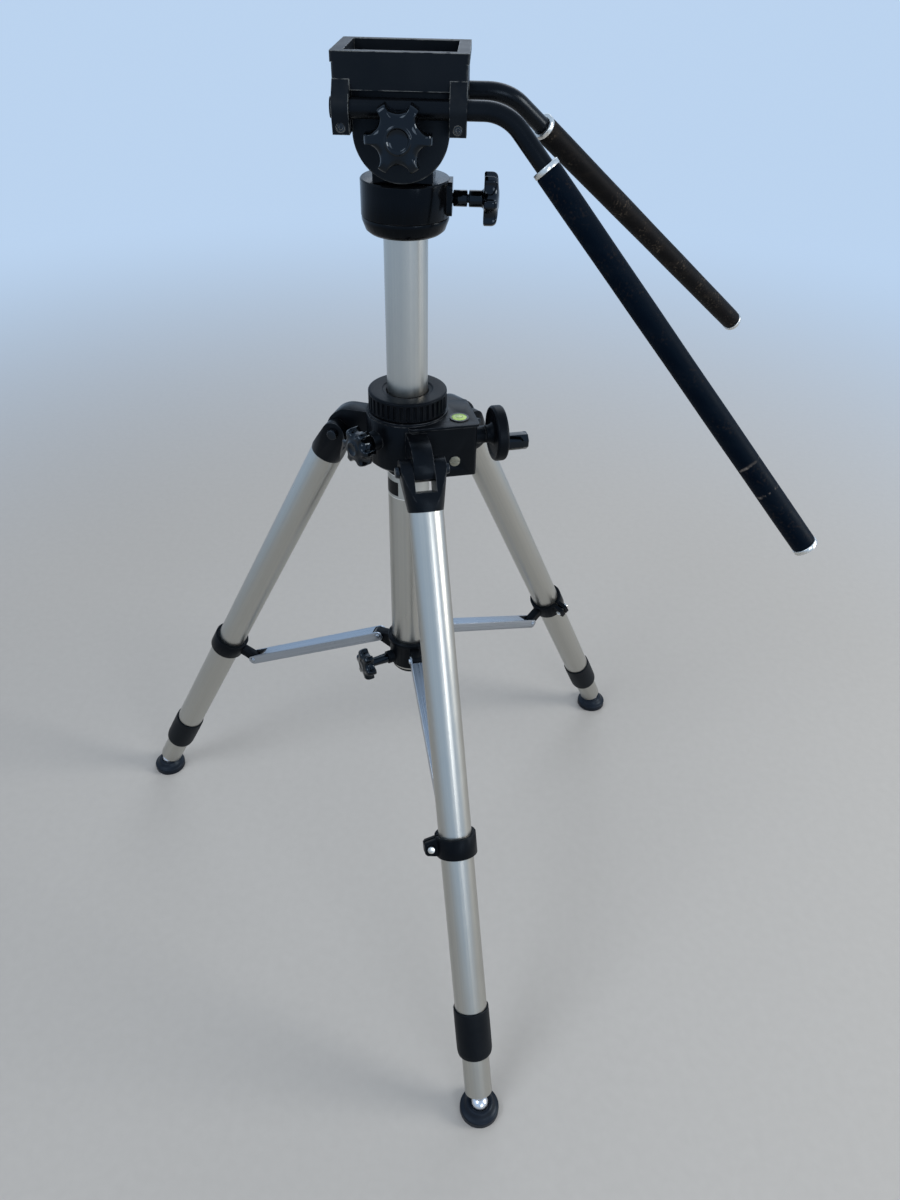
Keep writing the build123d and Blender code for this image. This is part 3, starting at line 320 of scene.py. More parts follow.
def darkFinish(name, values):
    # Black paint, moulding or rubber: fine grain, paler edges that are partly wear and partly a painted
    # highlight, and a little settled dust.
    material, tree, shader = startMaterial(name)
    fine = useGroup(tree, grain, {"Scale": values["grainScale"], "Detail": 3.0})
    cloud = useGroup(tree, grain, {"Scale": darkValues["cloudScale"], "Detail": 6.0})
    colour = mixColour(tree, spread(tree, cloud, 0, 1), values["dark"], values["light"])
    rough = mathNode(
        tree,
        "ADD",
        spread(tree, cloud, *values["roughness"]),
        spread(tree, fine, -darkValues["uneven"], darkValues["uneven"]),
    )
    if values.get("wearAndHighlight"):
        worn = useGroup(
            tree,
            edgeWearHighlight,
            {
                "Width": values.get("wearHighlightWidth", darkValues["wearHighlightWidth"]),
                "Amount": values["wearAndHighlight"],
                "Scale": darkValues["wearHighlightScale"],
            },
        )
        # Edges take a paler, shinier colour: partly wear, partly a painted highlight along them.
        colour = mixColour(tree, worn, colour, values["bareAndHighlight"])
        rough = mathNode(tree, "SUBTRACT", rough, mathNode(tree, "MULTIPLY", worn, darkValues["rubShine"]))
    if values.get("dust"):
        dusty = useGroup(tree, settledDust, {"Amount": values["dust"], "Scale": darkValues["dustScale"]})
        colour = mixColour(tree, dusty, colour, darkValues["dustColour"])
        rough = mathNode(tree, "ADD", rough, mathNode(tree, "MULTIPLY", dusty, darkValues["dustRough"]))
    tree.links.new(colour, shader.inputs["Base Color"])
    tree.links.new(rough, shader.inputs["Roughness"])
    shader.inputs["Specular IOR Level"].default_value = values["gloss"]
    shader.inputs["Specular Tint"].default_value = (*values["sheenTint"], 1)
    relief = addNode(
        tree, "ShaderNodeBump", None, {"Strength": values["relief"], "Distance": 0.0003, "Height": fine}
    )
    tree.links.new(relief.outputs[0], shader.inputs["Normal"])
    return material


foamValues = {
    "poreScale": 1500.0, "bloomFrom": 0.52, "bloomTo": 0.75, "tapeRagged": 0.018, "tapeWidth": 0.0045,
    "tapeColour": (0.30, 0.27, 0.25), "tapeShare": 0.8, "speckScale": 420.0, "patchScale": 38.0,
}


def gripFinish(name, values):
    # Foam rubber: pores, a dusty bloom in long smears, and a scuffed band between two torn tape edges.
    # The band is placed by the attribute "along", which runs from 0 to 1 down the grip.
    material, tree, shader = startMaterial(name)
    pores = useGroup(tree, grain, {"Scale": foamValues["poreScale"], "Detail": 2.0})
    smears = useGroup(tree, streaks, {"Direction": values["direction"], "Across": 90.0, "Along": 14.0})
    along = addNode(tree, "ShaderNodeAttribute", {"attribute_name": "along"}).outputs["Fac"]
    ragged = useGroup(tree, grain, {"Scale": 70.0, "Detail": 6.0})
    colour = mixColour(tree, spread(tree, smears, 0, 1), values["dark"], values["light"])
    bloom = mapRange(tree, smears, foamValues["bloomFrom"], foamValues["bloomTo"], 0.0, values["bloom"])
    colour = mixColour(tree, bloom, colour, values["bloomColour"])
    place = mathNode(
        tree,
        "ADD",
        along,
        mathNode(tree, "MULTIPLY", mathNode(tree, "SUBTRACT", ragged, 0.5), foamValues["tapeRagged"]),
    )
    rims = None
    for edge in values["tapeEdges"]:
        away = mathNode(tree, "ABSOLUTE", mathNode(tree, "SUBTRACT", place, edge))
        line = mathNode(tree, "SUBTRACT", 1.0, mathNode(tree, "DIVIDE", away, foamValues["tapeWidth"]), True)
        rims = line if rims is None else mathNode(tree, "MAXIMUM", rims, line)
    specks = mapRange(
        tree, useGroup(tree, grain, {"Scale": foamValues["speckScale"], "Detail": 4.0}), 0.54, 0.66
    )
    patchy = mapRange(
        tree, useGroup(tree, grain, {"Scale": foamValues["patchScale"], "Detail": 3.0}), 0.46, 0.62
    )
    if rims is not None:
        worn = mathNode(
            tree,
            "MULTIPLY",
            rims,
            mathNode(tree, "ADD", patchy, mathNode(tree, "MULTIPLY", specks, 0.4)),
            True,
        )
        colour = mixColour(
            tree, mathNode(tree, "MULTIPLY", worn, foamValues["tapeShare"]), colour, foamValues["tapeColour"]
        )
    flecks = mathNode(tree, "MULTIPLY", mathNode(tree, "MULTIPLY", specks, patchy), values["flecks"])
    colour = mixColour(tree, flecks, colour, values["fleckColour"])
    tree.links.new(colour, shader.inputs["Base Color"])
    tree.links.new(spread(tree, smears, *values["roughness"]), shader.inputs["Roughness"])
    shader.inputs["Specular IOR Level"].default_value = values["gloss"]
    shader.inputs["Specular Tint"].default_value = (*values["sheenTint"], 1)
    relief = addNode(tree, "ShaderNodeBump", None, {"Strength": 0.35, "Distance": 0.0003, "Height": pores})
    tree.links.new(relief.outputs[0], shader.inputs["Normal"])
    return material


def vialFinish(name, values):
    # Green spirit under clear plastic: a dark target ring and a pale bubble, by distance from two points.
    material, tree, shader = startMaterial(name)
    place = addNode(tree, "ShaderNodeTexCoord").outputs["Object"]
    murk = useGroup(tree, grain, {"Scale": 300.0, "Detail": 2.0})
    colour = mixColour(tree, spread(tree, murk, 0, 1), values["dark"], values["light"])

    def band(centre, inner, outer, soft):
        away = addNode(
            tree, "ShaderNodeVectorMath", {"operation": "DISTANCE"}, {0: place, 1: centre}
        ).outputs["Value"]
        enter = mapRange(tree, away, inner - soft, inner + soft)
        leave = mapRange(tree, away, outer - soft, outer + soft)
        return mathNode(tree, "SUBTRACT", enter, leave, True)

    ring, half = values["ring"], values["ringHalfWidth"]
    target = band(values["centre"], ring - half, ring + half, values["soft"])
    colour = mixColour(tree, target, colour, values["ringColour"])
    bubble, edge = values["bubble"], values["bubbleEdge"]
    inside = mathNode(
        tree,
        "MULTIPLY",
        band(bubble, -1.0, values["bubbleRadius"], values["bubbleSoft"]),
        values["bubbleShare"],
    )
    colour = mixColour(tree, inside, colour, values["bubbleColour"])
    colour = mixColour(tree, band(bubble, *edge, values["soft"]), colour, values["edgeColour"])
    tree.links.new(colour, shader.inputs["Base Color"])
    tree.links.new(spread(tree, murk, 0.08, 0.14), shader.inputs["Roughness"])
    return material


legLean = radians(27.532)
firstLegTurn = 14.6 - 90
braceReach, braceDrop = 0.898, 0.44
legTurns = [radians(firstLegTurn + 120 * turn) for turn in range(3)]
legWays = [Vector((sin(legLean) * cos(turn), sin(legLean) * sin(turn), -cos(legLean))) for turn in legTurns]
jointOf = {joint["name"]: joint for joint in frame["joints"]}

# Finishes: each colour is linear, roughness gives the two ends of its range, and across and along are the
# streaks' scales, per metre.
tubeValues = {
    "across": 520.0, "along": 2.5, "dark": (0.455, 0.452, 0.425), "light": (0.500, 0.490, 0.450),
    "roughness": (0.29, 0.33), "relief": 0.010, "dust": 0.10,
}
braceValues = {
    "across": 700.0, "along": 8.0, "dark": (0.335, 0.37, 0.415), "light": (0.435, 0.47, 0.52),
    "roughness": (0.24, 0.36), "relief": 0.06,
}
steelValues = {
    "direction": (1, 0, 0), "across": 700.0, "along": 500.0, "dark": (0.50, 0.49, 0.46),
    "light": (0.66, 0.65, 0.61), "roughness": (0.24, 0.36), "relief": 0.05,
}
# The pale edge colour here holds both wear and a painted highlight.
blackValues = {
    "dark": (0.0016, 0.0021, 0.0032), "light": (0.0034, 0.0043, 0.0060), "bareAndHighlight": (0.08, 0.08, 0.085),
    "grainScale": 1400.0, "relief": 0.12, "gloss": 0.10, "sheenTint": (0.66, 0.82, 1.0),
}
metalFinishes = {
    "columnTube": {**tubeValues, "direction": (0, 0, 1)},
    "brightSteel": steelValues,
    "dullPlug": {
        **steelValues, "dark": (0.20, 0.195, 0.15), "light": (0.30, 0.29, 0.235), "roughness": (0.45, 0.6)
    },
    "ferrule": {**steelValues, "dark": (0.58, 0.58, 0.56), "light": (0.76, 0.76, 0.73)},
    "studSteel": {
        **steelValues, "dark": (0.60, 0.62, 0.66), "light": (0.74, 0.76, 0.80), "roughness": (0.20, 0.30),
        "relief": 0.01,
    },
}
# Each edge colour and amount below paints edges that are partly worn and partly a painted highlight.
darkFinishes = {
    "casting": {
        **blackValues, "roughness": (0.28, 0.40), "wearAndHighlight": 1.1, "wearHighlightWidth": 0.0009,
        "bareAndHighlight": (0.10, 0.11, 0.125), "dust": 0.03, "relief": 0.25, "gloss": 0.12,
    },
    "collar": {**blackValues, "roughness": (0.34, 0.46), "wearAndHighlight": 0.2, "dust": 0.02, "gloss": 0.09},
    "sleeve": {
        **blackValues, "dark": (0.0028, 0.0036, 0.0050), "light": (0.0050, 0.0062, 0.0082),
        "roughness": (0.42, 0.55), "dust": 0.05, "gloss": 0.12,
    },
    "knob": {
        **blackValues, "dark": (0.0009, 0.0011, 0.0016), "light": (0.0016, 0.0019, 0.0026),
        "roughness": (0.05, 0.09), "dust": 0.02, "relief": 0.01, "gloss": 0.34,
    },
    "drum": {
        **blackValues, "dark": (0.0009, 0.0011, 0.0016), "light": (0.0016, 0.0019, 0.0026),
        "roughness": (0.13, 0.22), "wearAndHighlight": 0.3, "dust": 0.06, "relief": 0.03, "gloss": 0.12,
    },
    "platform": {
        **blackValues, "dark": (0.0030, 0.0042, 0.0062), "light": (0.0058, 0.0078, 0.0108),
        "roughness": (0.40, 0.52), "wearAndHighlight": 1.8, "wearHighlightWidth": 0.0009, "bareAndHighlight": (0.22, 0.24, 0.25),
        "dust": 0.12, "gloss": 0.14,
    },
    "bolt": {
        **blackValues, "roughness": (0.22, 0.36), "wearAndHighlight": 0.7, "bareAndHighlight": (0.22, 0.22, 0.22), "gloss": 0.35
    },
    "screw": {
        **blackValues, "dark": (0.006, 0.006, 0.006), "light": (0.012, 0.012, 0.012),
        "roughness": (0.2, 0.32), "wearAndHighlight": 1.4, "wearHighlightWidth": 0.00035, "bareAndHighlight": (0.34, 0.33, 0.29),
        "gloss": 0.5,
    },
    "pad": {
        **blackValues, "dark": (0.0030, 0.0048, 0.0085), "light": (0.0062, 0.0088, 0.0150),
        "roughness": (0.38, 0.52), "dust": 0.05, "gloss": 0.24,
    },
    "handle": {
        **blackValues, "dark": (0.0012, 0.0015, 0.0022), "light": (0.0024, 0.0028, 0.0038),
        "roughness": (0.22, 0.34), "dust": 0.02, "gloss": 0.16,
    },
    "bush": {**blackValues, "roughness": (0.4, 0.5)},
}
gripFinishes = {
    "nearGrip": {
        "direction": jointOf["near_handle_turn"]["axis"],
        # The near grip's navy colours are a painted blue reflection over the foam's own black; the far grip
        # has the plain foam colour.
        "dark": (0.0006, 0.0022, 0.0060),
        "light": (0.0016, 0.0042, 0.0095),
        "bloom": 0.06,
        "bloomColour": (0.030, 0.036, 0.044),
        "tapeEdges": (0.755, 0.835),
        "flecks": 0.12,
        "fleckColour": (0.10, 0.07, 0.05),
        "roughness": (0.46, 0.62),
        "gloss": 0.06,
        "sheenTint": (0.45, 0.72, 1.0),
    },
    "farGrip": {
        "direction": jointOf["far_handle_turn"]["axis"],
        "dark": (0.0018, 0.0018, 0.0022),
        "light": (0.0052, 0.0048, 0.0048),
        "bloom": 0.14,
        "bloomColour": (0.042, 0.034, 0.028),
        "tapeEdges": (),
        "flecks": 0.40,
        "fleckColour": (0.11, 0.09, 0.07),
        "roughness": (0.46, 0.62),
        "gloss": 0.06,
        "sheenTint": (0.9, 0.92, 1.0),
    },
}
finishes = {name: drawnMetal(name, values) for name, values in metalFinishes.items()}
finishes.update({name: darkFinish(name, values) for name, values in darkFinishes.items()})
finishes.update({name: gripFinish(name, values) for name, values in gripFinishes.items()})

for number, (turn, way) in enumerate(zip(legTurns, legWays), 1):
    braceWay = (cos(turn) * braceReach, sin(turn) * braceReach, -braceDrop)
    finishes[f"legTube{number}"] = drawnMetal(f"legTube{number}", {**tubeValues, "direction": way})
    finishes[f"brace{number}"] = drawnMetal(f"brace{number}", {**braceValues, "direction": braceWay})

finishOfSlot = {
    "casting_black": "casting", "collar_black": "collar", "sleeve_black": "sleeve", "knob_black": "knob",
    "drum_black": "drum", "platform_black": "platform", "bolt_black": "bolt", "bright_steel": "brightSteel",
    "stud_steel": "studSteel", "pad_rubber": "pad", "handle_black": "handle", "grip_foam": "nearGrip",
    "ferrule_silver": "ferrule", "vial_green": "bush", "bush_nylon": "bush",
}
finishOfNode = {"clamp_screws": "screw", "housing_plug": "dullPlug"}


def finishFor(node, slot):
    leg = node[4] if node.startswith("leg_") and node[4].isdigit() else None
    if slot == "tube_satin":
        return finishes[f"legTube{leg}" if leg else "columnTube"]
    if slot == "brace_mill":
        return finishes[f"brace{leg}"]
    if node in finishOfNode:
        return finishes[finishOfNode[node]]
    return finishes[finishOfSlot[slot]]


for part in record["subparts"]:
    body = frame["nodes"][part["node"]]
    for index in range(max(1, len(body.material_slots))):
        if not body.material_slots:
            body.data.materials.append(None)
        body.material_slots[index].material = finishFor(part["node"], part["material_slot"])
print("finishes:", len(finishes))

# Helpers that make the pieces.
millimetre = 0.001


def axesAlong(way, hint=(0, 0, 1)):
    # Three unit vectors, the last along way: the first is hint x way, the second way x first.
    ahead = np.array(way, float)
    ahead /= np.linalg.norm(ahead)
    side = np.cross(np.array(hint, float), ahead)
    if np.linalg.norm(side) < 1e-3:
        side = np.cross((1.0, 0, 0), ahead)
    side /= np.linalg.norm(side)
    return side, np.cross(ahead, side), ahead


def makeSurface(name, grid, node, finish, hoop=False, sharp=38, along=None, stands=True):
    # A closed surface from a grid of points: columns run round it. Rows end in fans to the middle of
    # the end rows or, on a hoop, run on from the last row to the first. It rides with the CAD node and,
    # unless stands is False, is shown in its place.
    rows, columns = grid.shape[:2]
    corners = np.arange(rows * columns).reshape(rows, columns)
    right = np.roll(corners, -1, axis=1)
    points = grid.reshape(-1, 3)
    fans = np.zeros((0, 3), int)
    if hoop:
        quads = np.stack(
            [corners, right, np.roll(right, -1, axis=0), np.roll(corners, -1, axis=0)], axis=-1
        ).reshape(-1, 4)
    else:
        quads = np.stack([corners[:-1], right[:-1], right[1:], corners[1:]], axis=-1).reshape(-1, 4)
        points = np.vstack([points, grid[0].mean(0), grid[-1].mean(0)])
        first = np.stack([right[0], corners[0], np.full(columns, rows * columns)], axis=-1)
        last = np.stack([corners[-1], right[-1], np.full(columns, rows * columns + 1)], axis=-1)
        fans = np.vstack([first, last])
    triangles = np.vstack([quads[:, [0, 1, 2]], quads[:, [0, 2, 3]], fans])
    volume = np.einsum(
        "ij,ij->", points[triangles[:, 0]], np.cross(points[triangles[:, 1]], points[triangles[:, 2]])
    )
    if volume < 0:
        quads, fans = quads[:, ::-1], fans[:, ::-1]
    mesh = bpy.data.meshes.new(name)
    mesh.from_pydata(points.tolist(), [], quads.tolist() + fans.tolist())
    mesh.update()
    if along is not None:
        share = np.repeat(along, columns) if hoop else np.concatenate(
            [np.repeat(along, columns), along[[0, -1]]]
        )
        mesh.attributes.new("along", "FLOAT", "POINT").data.foreach_set("value", share.astype(np.float32))
    mesh.shade_smooth()
    mesh.set_sharp_from_angle(angle=radians(sharp))
    mesh.materials.append(finish)
    piece = bpy.data.objects.new(name, mesh)
    scene.collection.objects.link(piece)
    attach(piece, frame["nodes"][node]["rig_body"])
    if stands:
        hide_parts(node)
    return piece


def softProfile(corners, steps=4):
    # A profile from corners (radius, height, round) in millimetres: each corner becomes a quadratic arc
    # that starts and ends its round away from it, along the two sides.
    corners = np.array(corners, float) * millimetre
    before, at, after = corners[:-2, :2], corners[1:-1, :2], corners[2:, :2]
    back, ahead = before - at, after - at
    backLength, aheadLength = np.hypot(*back.T)[:, None], np.hypot(*ahead.T)[:, None]
    reach = np.minimum(corners[1:-1, 2:], 0.49 * np.minimum(backLength, aheadLength))
    start, end = at + back / backLength * reach, at + ahead / aheadLength * reach
    share = np.linspace(0, 1, steps + 1)[None, :, None]
    arcs = (1 - share) ** 2 * start[:, None] + 2 * share * (1 - share) * at[:, None] + share**2 * end[:, None]
    used = (reach > 1e-6) | (np.arange(steps + 1) == 0)[None, :]
    return np.vstack([corners[:1, :2], arcs[used], corners[-1:, :2]])


def turned(profile, place, way, around=96, ripple=None, hint=(0, 0, 1)):
    # A lathe grid: each profile point (radius, height) goes round the axis through place, and
    # ripple(angle, radius, height) is added to its radius.
    side, up, ahead = axesAlong(way, hint)
    angle = np.linspace(0, 2 * pi, around, endpoint=False)[None, :]
    radius, height = profile[:, 0:1] + 0 * angle, profile[:, 1:2] + 0 * angle
    if ripple is not None:
        radius = radius + ripple(angle, radius, height)
    ring = np.cos(angle)[..., None] * side + np.sin(angle)[..., None] * up
    return np.array(place, float) + radius[..., None] * ring + height[..., None] * ahead


mergeDistance, flatAngle, cornerAngle = 3e-6, 0.6, 40


def softened(node, values):
    # A copy of a CAD node with its corners rounded: doubles merged, flat faces joined, then a bevel.
    mesh = frame["nodes"][node].data.copy()
    work = bmesh.new()
    work.from_mesh(mesh)
    bmesh.ops.remove_doubles(work, verts=work.verts, dist=mergeDistance)
    bmesh.ops.dissolve_limit(work, angle_limit=radians(flatAngle), verts=work.verts, edges=work.edges)
    work.to_mesh(mesh)
    work.free()
    mesh.shade_smooth()
    piece = bpy.data.objects.new(node + "Cast", mesh)
    scene.collection.objects.link(piece)
    bevel = piece.modifiers.new("corners", "BEVEL")
    bevel.width = values["round"] * millimetre
    bevel.segments = values.get("segments", 3)
    bevel.limit_method = "ANGLE"
    bevel.angle_limit = radians(cornerAngle)
    bevel.use_clamp_overlap = True
    bevel.harden_normals = True
    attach(piece, frame["nodes"][node]["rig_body"])
    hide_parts(node)
    return piece


# Star knobs.
# Each row of a knob's section is (share of the lobed outline, inset from it, round radius, height).
knobValues = {
    "tiltKnob": {
        "joint": "tilt_knob_turn",
        "node": "tilt_lock_knob",
        "radius": 24.6,
        "depth": 0.31,
        "rows": [
            (0, 0, 8.5, -15.8), (0, 0, 8.5, -0.4), (0, 0, 9.2, 0), (1, 2.0, 0, 0), (1, 0.6, 0, 0.3),
            (1, 0, 0, 1.5), (1, 0, 0, 9.2), (1, 0.3, 0, 11.0), (1, 1.0, 0, 12.5), (1, 2.1, 0, 13.5),
            (1, 3.6, 0, 14.1), (0.5, 5.2, 13.0, 14.4), (0, 0, 10.6, 14.5), (0, 0, 9.7, 14.7),
            (0, 0, 9.3, 15.3), (0, 0, 8.7, 15.6), (0, 0, 8.1, 15.4), (0, 0, 7.5, 14.3), (0, 0, 6.4, 13.7),
            (0, 0, 3.0, 13.5),
        ],
    },
    "panKnob": {
        "joint": "pan_knob_turn",
        "node": "pan_lock_knob",
        "radius": 20.5,
        "depth": 0.26,
        "rows": [
            (0, 0, 4.0, -52.2), (0, 0, 4.0, -24.6), (0, 0, 5.6, -24.4), (0, 0, 6.2, -23.8),
            (0, 0, 6.3, -13.6), (0, 0, 5.7, -13.1), (0, 0, 3.4, -13.0), (0, 0, 3.4, -12.0),
            (0, 0, 5.8, -11.9), (0, 0, 6.4, -11.4), (0, 0, 6.4, -2.0), (0, 0, 6.9, -0.8), (0, 0, 8.5, 0),
            (1, 1.6, 0, 0), (1, 0.5, 0, 0.3), (1, 0, 0, 1.2), (1, 0, 0, 6.6), (1, 0.3, 0, 8.1),
            (1, 1.0, 0, 9.4), (1, 2.0, 0, 10.3), (1, 3.4, 0, 10.9), (0.5, 5.0, 10.5, 11.5), (0, 0, 7.6, 11.9),
            (0, 0, 6.6, 12.3), (0, 0, 6.0, 12.3), (0, 0, 5.2, 11.9), (0, 0, 2.5, 11.7),
        ],
    },
    "columnKnob": {
        "joint": "column_knob_turn",
        "node": "column_lock_knob",
        "radius": 18.0,
        "depth": 0.26,
        "rows": [
            (0, 0, 4.0, -30.8), (0, 0, 4.0, -5.6), (0, 0, 7.0, -5.5), (0, 0, 7.6, -4.8), (0, 0, 8.2, -0.5),
            (0, 0, 9.2, 0), (1, 1.4, 0, 0), (1, 0.4, 0, 0.4), (1, 0, 0, 1.3), (1, 0, 0, 8.0),
            (1, 0.3, 0, 9.8), (1, 0.9, 0, 11.4), (1, 1.9, 0, 12.5), (1, 3.0, 0, 13.0), (0.5, 4.4, 9.5, 13.1),
            (0, 0, 8.2, 13.2), (0, 0, 7.4, 13.7), (0, 0, 6.8, 14.3), (0, 0, 6.0, 14.5), (0, 0, 5.2, 14.1),
            (0, 0, 4.2, 13.2), (0, 0, 2.0, 13.0),
        ],
    },
    "hubKnob": {
        "joint": "hub_knob_turn",
        "node": "hub_lock_knob",
        "radius": 17.5,
        "depth": 0.28,
        "rows": [
            (0, 0, 4.0, -27.8), (0, 0, 4.0, -20.2), (0, 0, 5.4, -20.0), (0, 0, 5.6, -19.2), (0, 0, 5.0, -9.0),
            (0, 0, 4.8, 2.6), (0.35, 5.4, 5.0, 3.2), (0.8, 3.2, 6.0, 2.6), (1, 2.6, 0, 0.6), (1, 1.4, 0, 0),
            (1, 0.5, 0, 0.2), (1, 0, 0, 1.2), (1, 0, 0, 5.6), (1, 0.3, 0, 7.2), (1, 1.0, 0, 8.9),
            (1, 2.0, 0, 9.8), (1, 3.2, 0, 10.3), (0.5, 4.4, 8.4, 10.5), (0, 0, 7.4, 10.6), (0, 0, 6.4, 11.1),
            (0, 0, 5.4, 11.5), (0, 0, 4.4, 11.3), (0, 0, 2.2, 11.1),
        ],
    },
}


starValues = {"lobes": 6, "soft": 0.03, "corner": 0.73, "rise": 6}


def starOutline(angle, depth):
    # Share of the full radius at each angle: a circle with circular hollows half way between the lobes,
    # joined at the corners by a soft minimum. The hollow's circle passes the corner and 1 - depth.
    pitch, soft = pi / starValues["lobes"], starValues["soft"]
    corner, bottom = starValues["corner"] * pitch, 1 - depth
    middle = (1 - bottom**2) / (2 * (cos(corner) - bottom))
    hollow = middle - bottom
    edge = asin(min(1.0, hollow / middle))
    off = np.abs(angle % (2 * pitch) - pitch)
    inside = middle * np.cos(off) - np.sqrt(np.maximum(hollow**2 - (middle * np.sin(off)) ** 2, 0))
    inner = np.where(off < edge, inside, middle * cos(edge) + starValues["rise"] * (off - edge))
    return -soft * np.log(exp(-1 / soft) + np.exp(-inner / soft))


def addKnob(name, values):
    joint = jointOf[values["joint"]]
    side, up, ahead = axesAlong(joint["axis"])
    angle = np.linspace(0, 2 * pi, 180, endpoint=False)[None, :]
    share, inset, middle, height = np.array(values["rows"], float).T[..., None]
    radius = (
        share * (values["radius"] * starOutline(angle, values["depth"]) - inset) + (1 - share) * middle
    ) * millimetre
    ring = np.cos(angle)[..., None] * side + np.sin(angle)[..., None] * up
    grid = np.array(joint["pos_m"]) + radius[..., None] * ring + (height * millimetre)[..., None] * ahead
    return makeSurface(name, grid, values["node"], finishes["knob"], sharp=50)


for name, values in knobValues.items():
    addKnob(name, values)
print("star knobs")

# Column lock ring.
lockRingValues = {
    "ribs": 38, "depth": 1.7, "groove": 0.30, "flank": 0.12, "top": 2.6, "topFade": 1.2, "bottom": 1.4,
    "bottomFade": 0.8, "steps": 16,
}


def addLockRing(values):
    # A lathe ring whose rim has flat-topped ribs: the groove is a narrow smooth dip of the angle that
    # fades out below the top corner and above the lower one.
    low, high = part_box("lock_ring")
    tall, outer = (high.z - low.z) / millimetre, (high.x - low.x) / 2 / millimetre
    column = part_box("centre_column")
    bore = (column[1].x - column[0].x) / 2 / millimetre + 0.4
    profile = softProfile(
        [
            (bore, 0, 0), (outer - 2.6, 0, 0.4), (outer - 1.2, 0.4, 0.3), (outer, 0.9, 0.4), (outer, 1.6, 0),
            (outer, 2.4, 0), (outer, tall / 2, 0), (outer, tall - 4.6, 0), (outer, tall - 3.4, 0),
            (outer, tall - 2.6, 0), (outer, tall - 0.8, 0.8), (outer - 1.6, tall, 0.8), (outer - 6, tall, 0),
            (bore + 4.4, tall - 0.3, 0.6), (bore + 3.6, tall - 1.1, 0.4), (bore + 0.6, tall - 1.5, 0.5),
            (bore, tall - 2.4, 0), (bore, 4, 0),
        ]
    )

    def ripple(angle, radius, height):
        turn = (angle * values["ribs"] / (2 * pi)) % 1
        dip = np.clip((values["groove"] - np.abs(turn - 0.5)) / values["flank"], 0, 1)
        dip = dip * dip * (3 - 2 * dip)
        rise = height / millimetre
        fade = np.clip((tall - values["top"] - rise) / values["topFade"], 0, 1)
        fade = fade * np.clip((rise - values["bottom"]) / values["bottomFade"], 0, 1)
        return -values["depth"] * millimetre * dip * np.sqrt(fade) * (radius > (outer - 0.5) * millimetre)

    grid = turned(profile, (0, 0, low.z), (0, 0, 1), values["ribs"] * values["steps"], ripple)
    makeSurface("lockRing", grid, "lock_ring", finishes["collar"], hoop=True, sharp=32)


addLockRing(lockRingValues)
print("lock ring")

# Feet and twist sleeves: corners are (radius, height, round) in millimetres. The start of a sleeve is
# how far up the leg from the foot's ball its zero lies, in metres.
padValues = {
    "profile": [
        (0.2, 0.3, 0), (12.0, 0.3, 0), (13.0, 0, 0.3), (19.2, 0, 0.2), (19.8, 0.9, 0.6), (19.8, 7.2, 0.4),
        (19.2, 8.6, 0.8), (17.4, 9.4, 0.8), (15.4, 11.0, 2.0), (13.4, 14.6, 1.2), (12.2, 15.5, 0.8),
        (10.6, 15.5, 0.6), (9.35, 14.9, 0.3), (9.3, 13.0, 0), (8.9, 11.0, 0), (8.1, 9.3, 0), (6.6, 7.4, 0),
        (4.6, 5.9, 0), (2.4, 5.0, 0), (0.4, 4.7, 0),
    ]
}
sleeveValues = {
    "profile": [
        (16.35, 0, 0), (17.0, 0, 0.3), (17.5, 0.8, 0.5), (17.6, 4, 1), (17.7, 14, 2), (17.7, 38, 2),
        (17.6, 46.5, 1.5), (16.9, 50.4, 1.5), (15.4, 52.0, 0.8), (14.1, 52.0, 0.3), (14.05, 51.4, 0),
        (14.05, 22.0, 0), (16.35, 21.6, 0),
    ],
    "start": 0.109,
}
for leg in (1, 2, 3):
    centre = jointOf[f"leg_{leg}_pad_swivel"]["pos_m"]
    grid = turned(softProfile(padValues["profile"]), (centre[0], centre[1], 0), (0, 0, 1))
    makeSurface(f"footPad{leg}", grid, f"leg_{leg}_foot_pad", finishes["pad"], sharp=45)
    hinge, foot = (np.array(jointOf[f"leg_{leg}_{name}"]["pos_m"]) for name in ("fold", "pad_swivel"))
    down = (foot - hinge) / np.linalg.norm(foot - hinge)
    grid = turned(softProfile(sleeveValues["profile"]), foot - down * sleeveValues["start"], down)
    makeSurface(f"twistSleeve{leg}", grid, f"leg_{leg}_twist_sleeve", finishes["sleeve"], hoop=True)
print("feet and sleeves")

# Crank.
crankValues = {
    "wheel": [
        (3.1, 68.4, 0), (7.6, 68.4, 0.4), (8.2, 69.4, 0.5), (8.4, 73.0, 1.5), (10.5, 75.9, 1.0),
        (18.6, 76.0, 1.0), (21.4, 75.1, 0.8), (24.0, 75.0, 0.8), (25.7, 76.6, 1.0), (25.7, 84.2, 1.2),
        (24.2, 86.0, 1.2), (21.8, 86.0, 1.0), (20.4, 83.2, 1.4), (18.4, 80.2, 1.6), (11.0, 79.9, 0),
        (3.1, 80.0, 0),
    ],
    "gripAcross": 8.4,
    "gripLength": 24.0,
    "gripRound": 0.16,
    "gripCircle": 0.962,
    "gripRows": [(0.0, 1.0), (0.2, 0.0), (8.0, 0.0), (16.0, 0.0), (22.6, 0.0), (23.5, 0.4), (24.0, 1.3)],
}


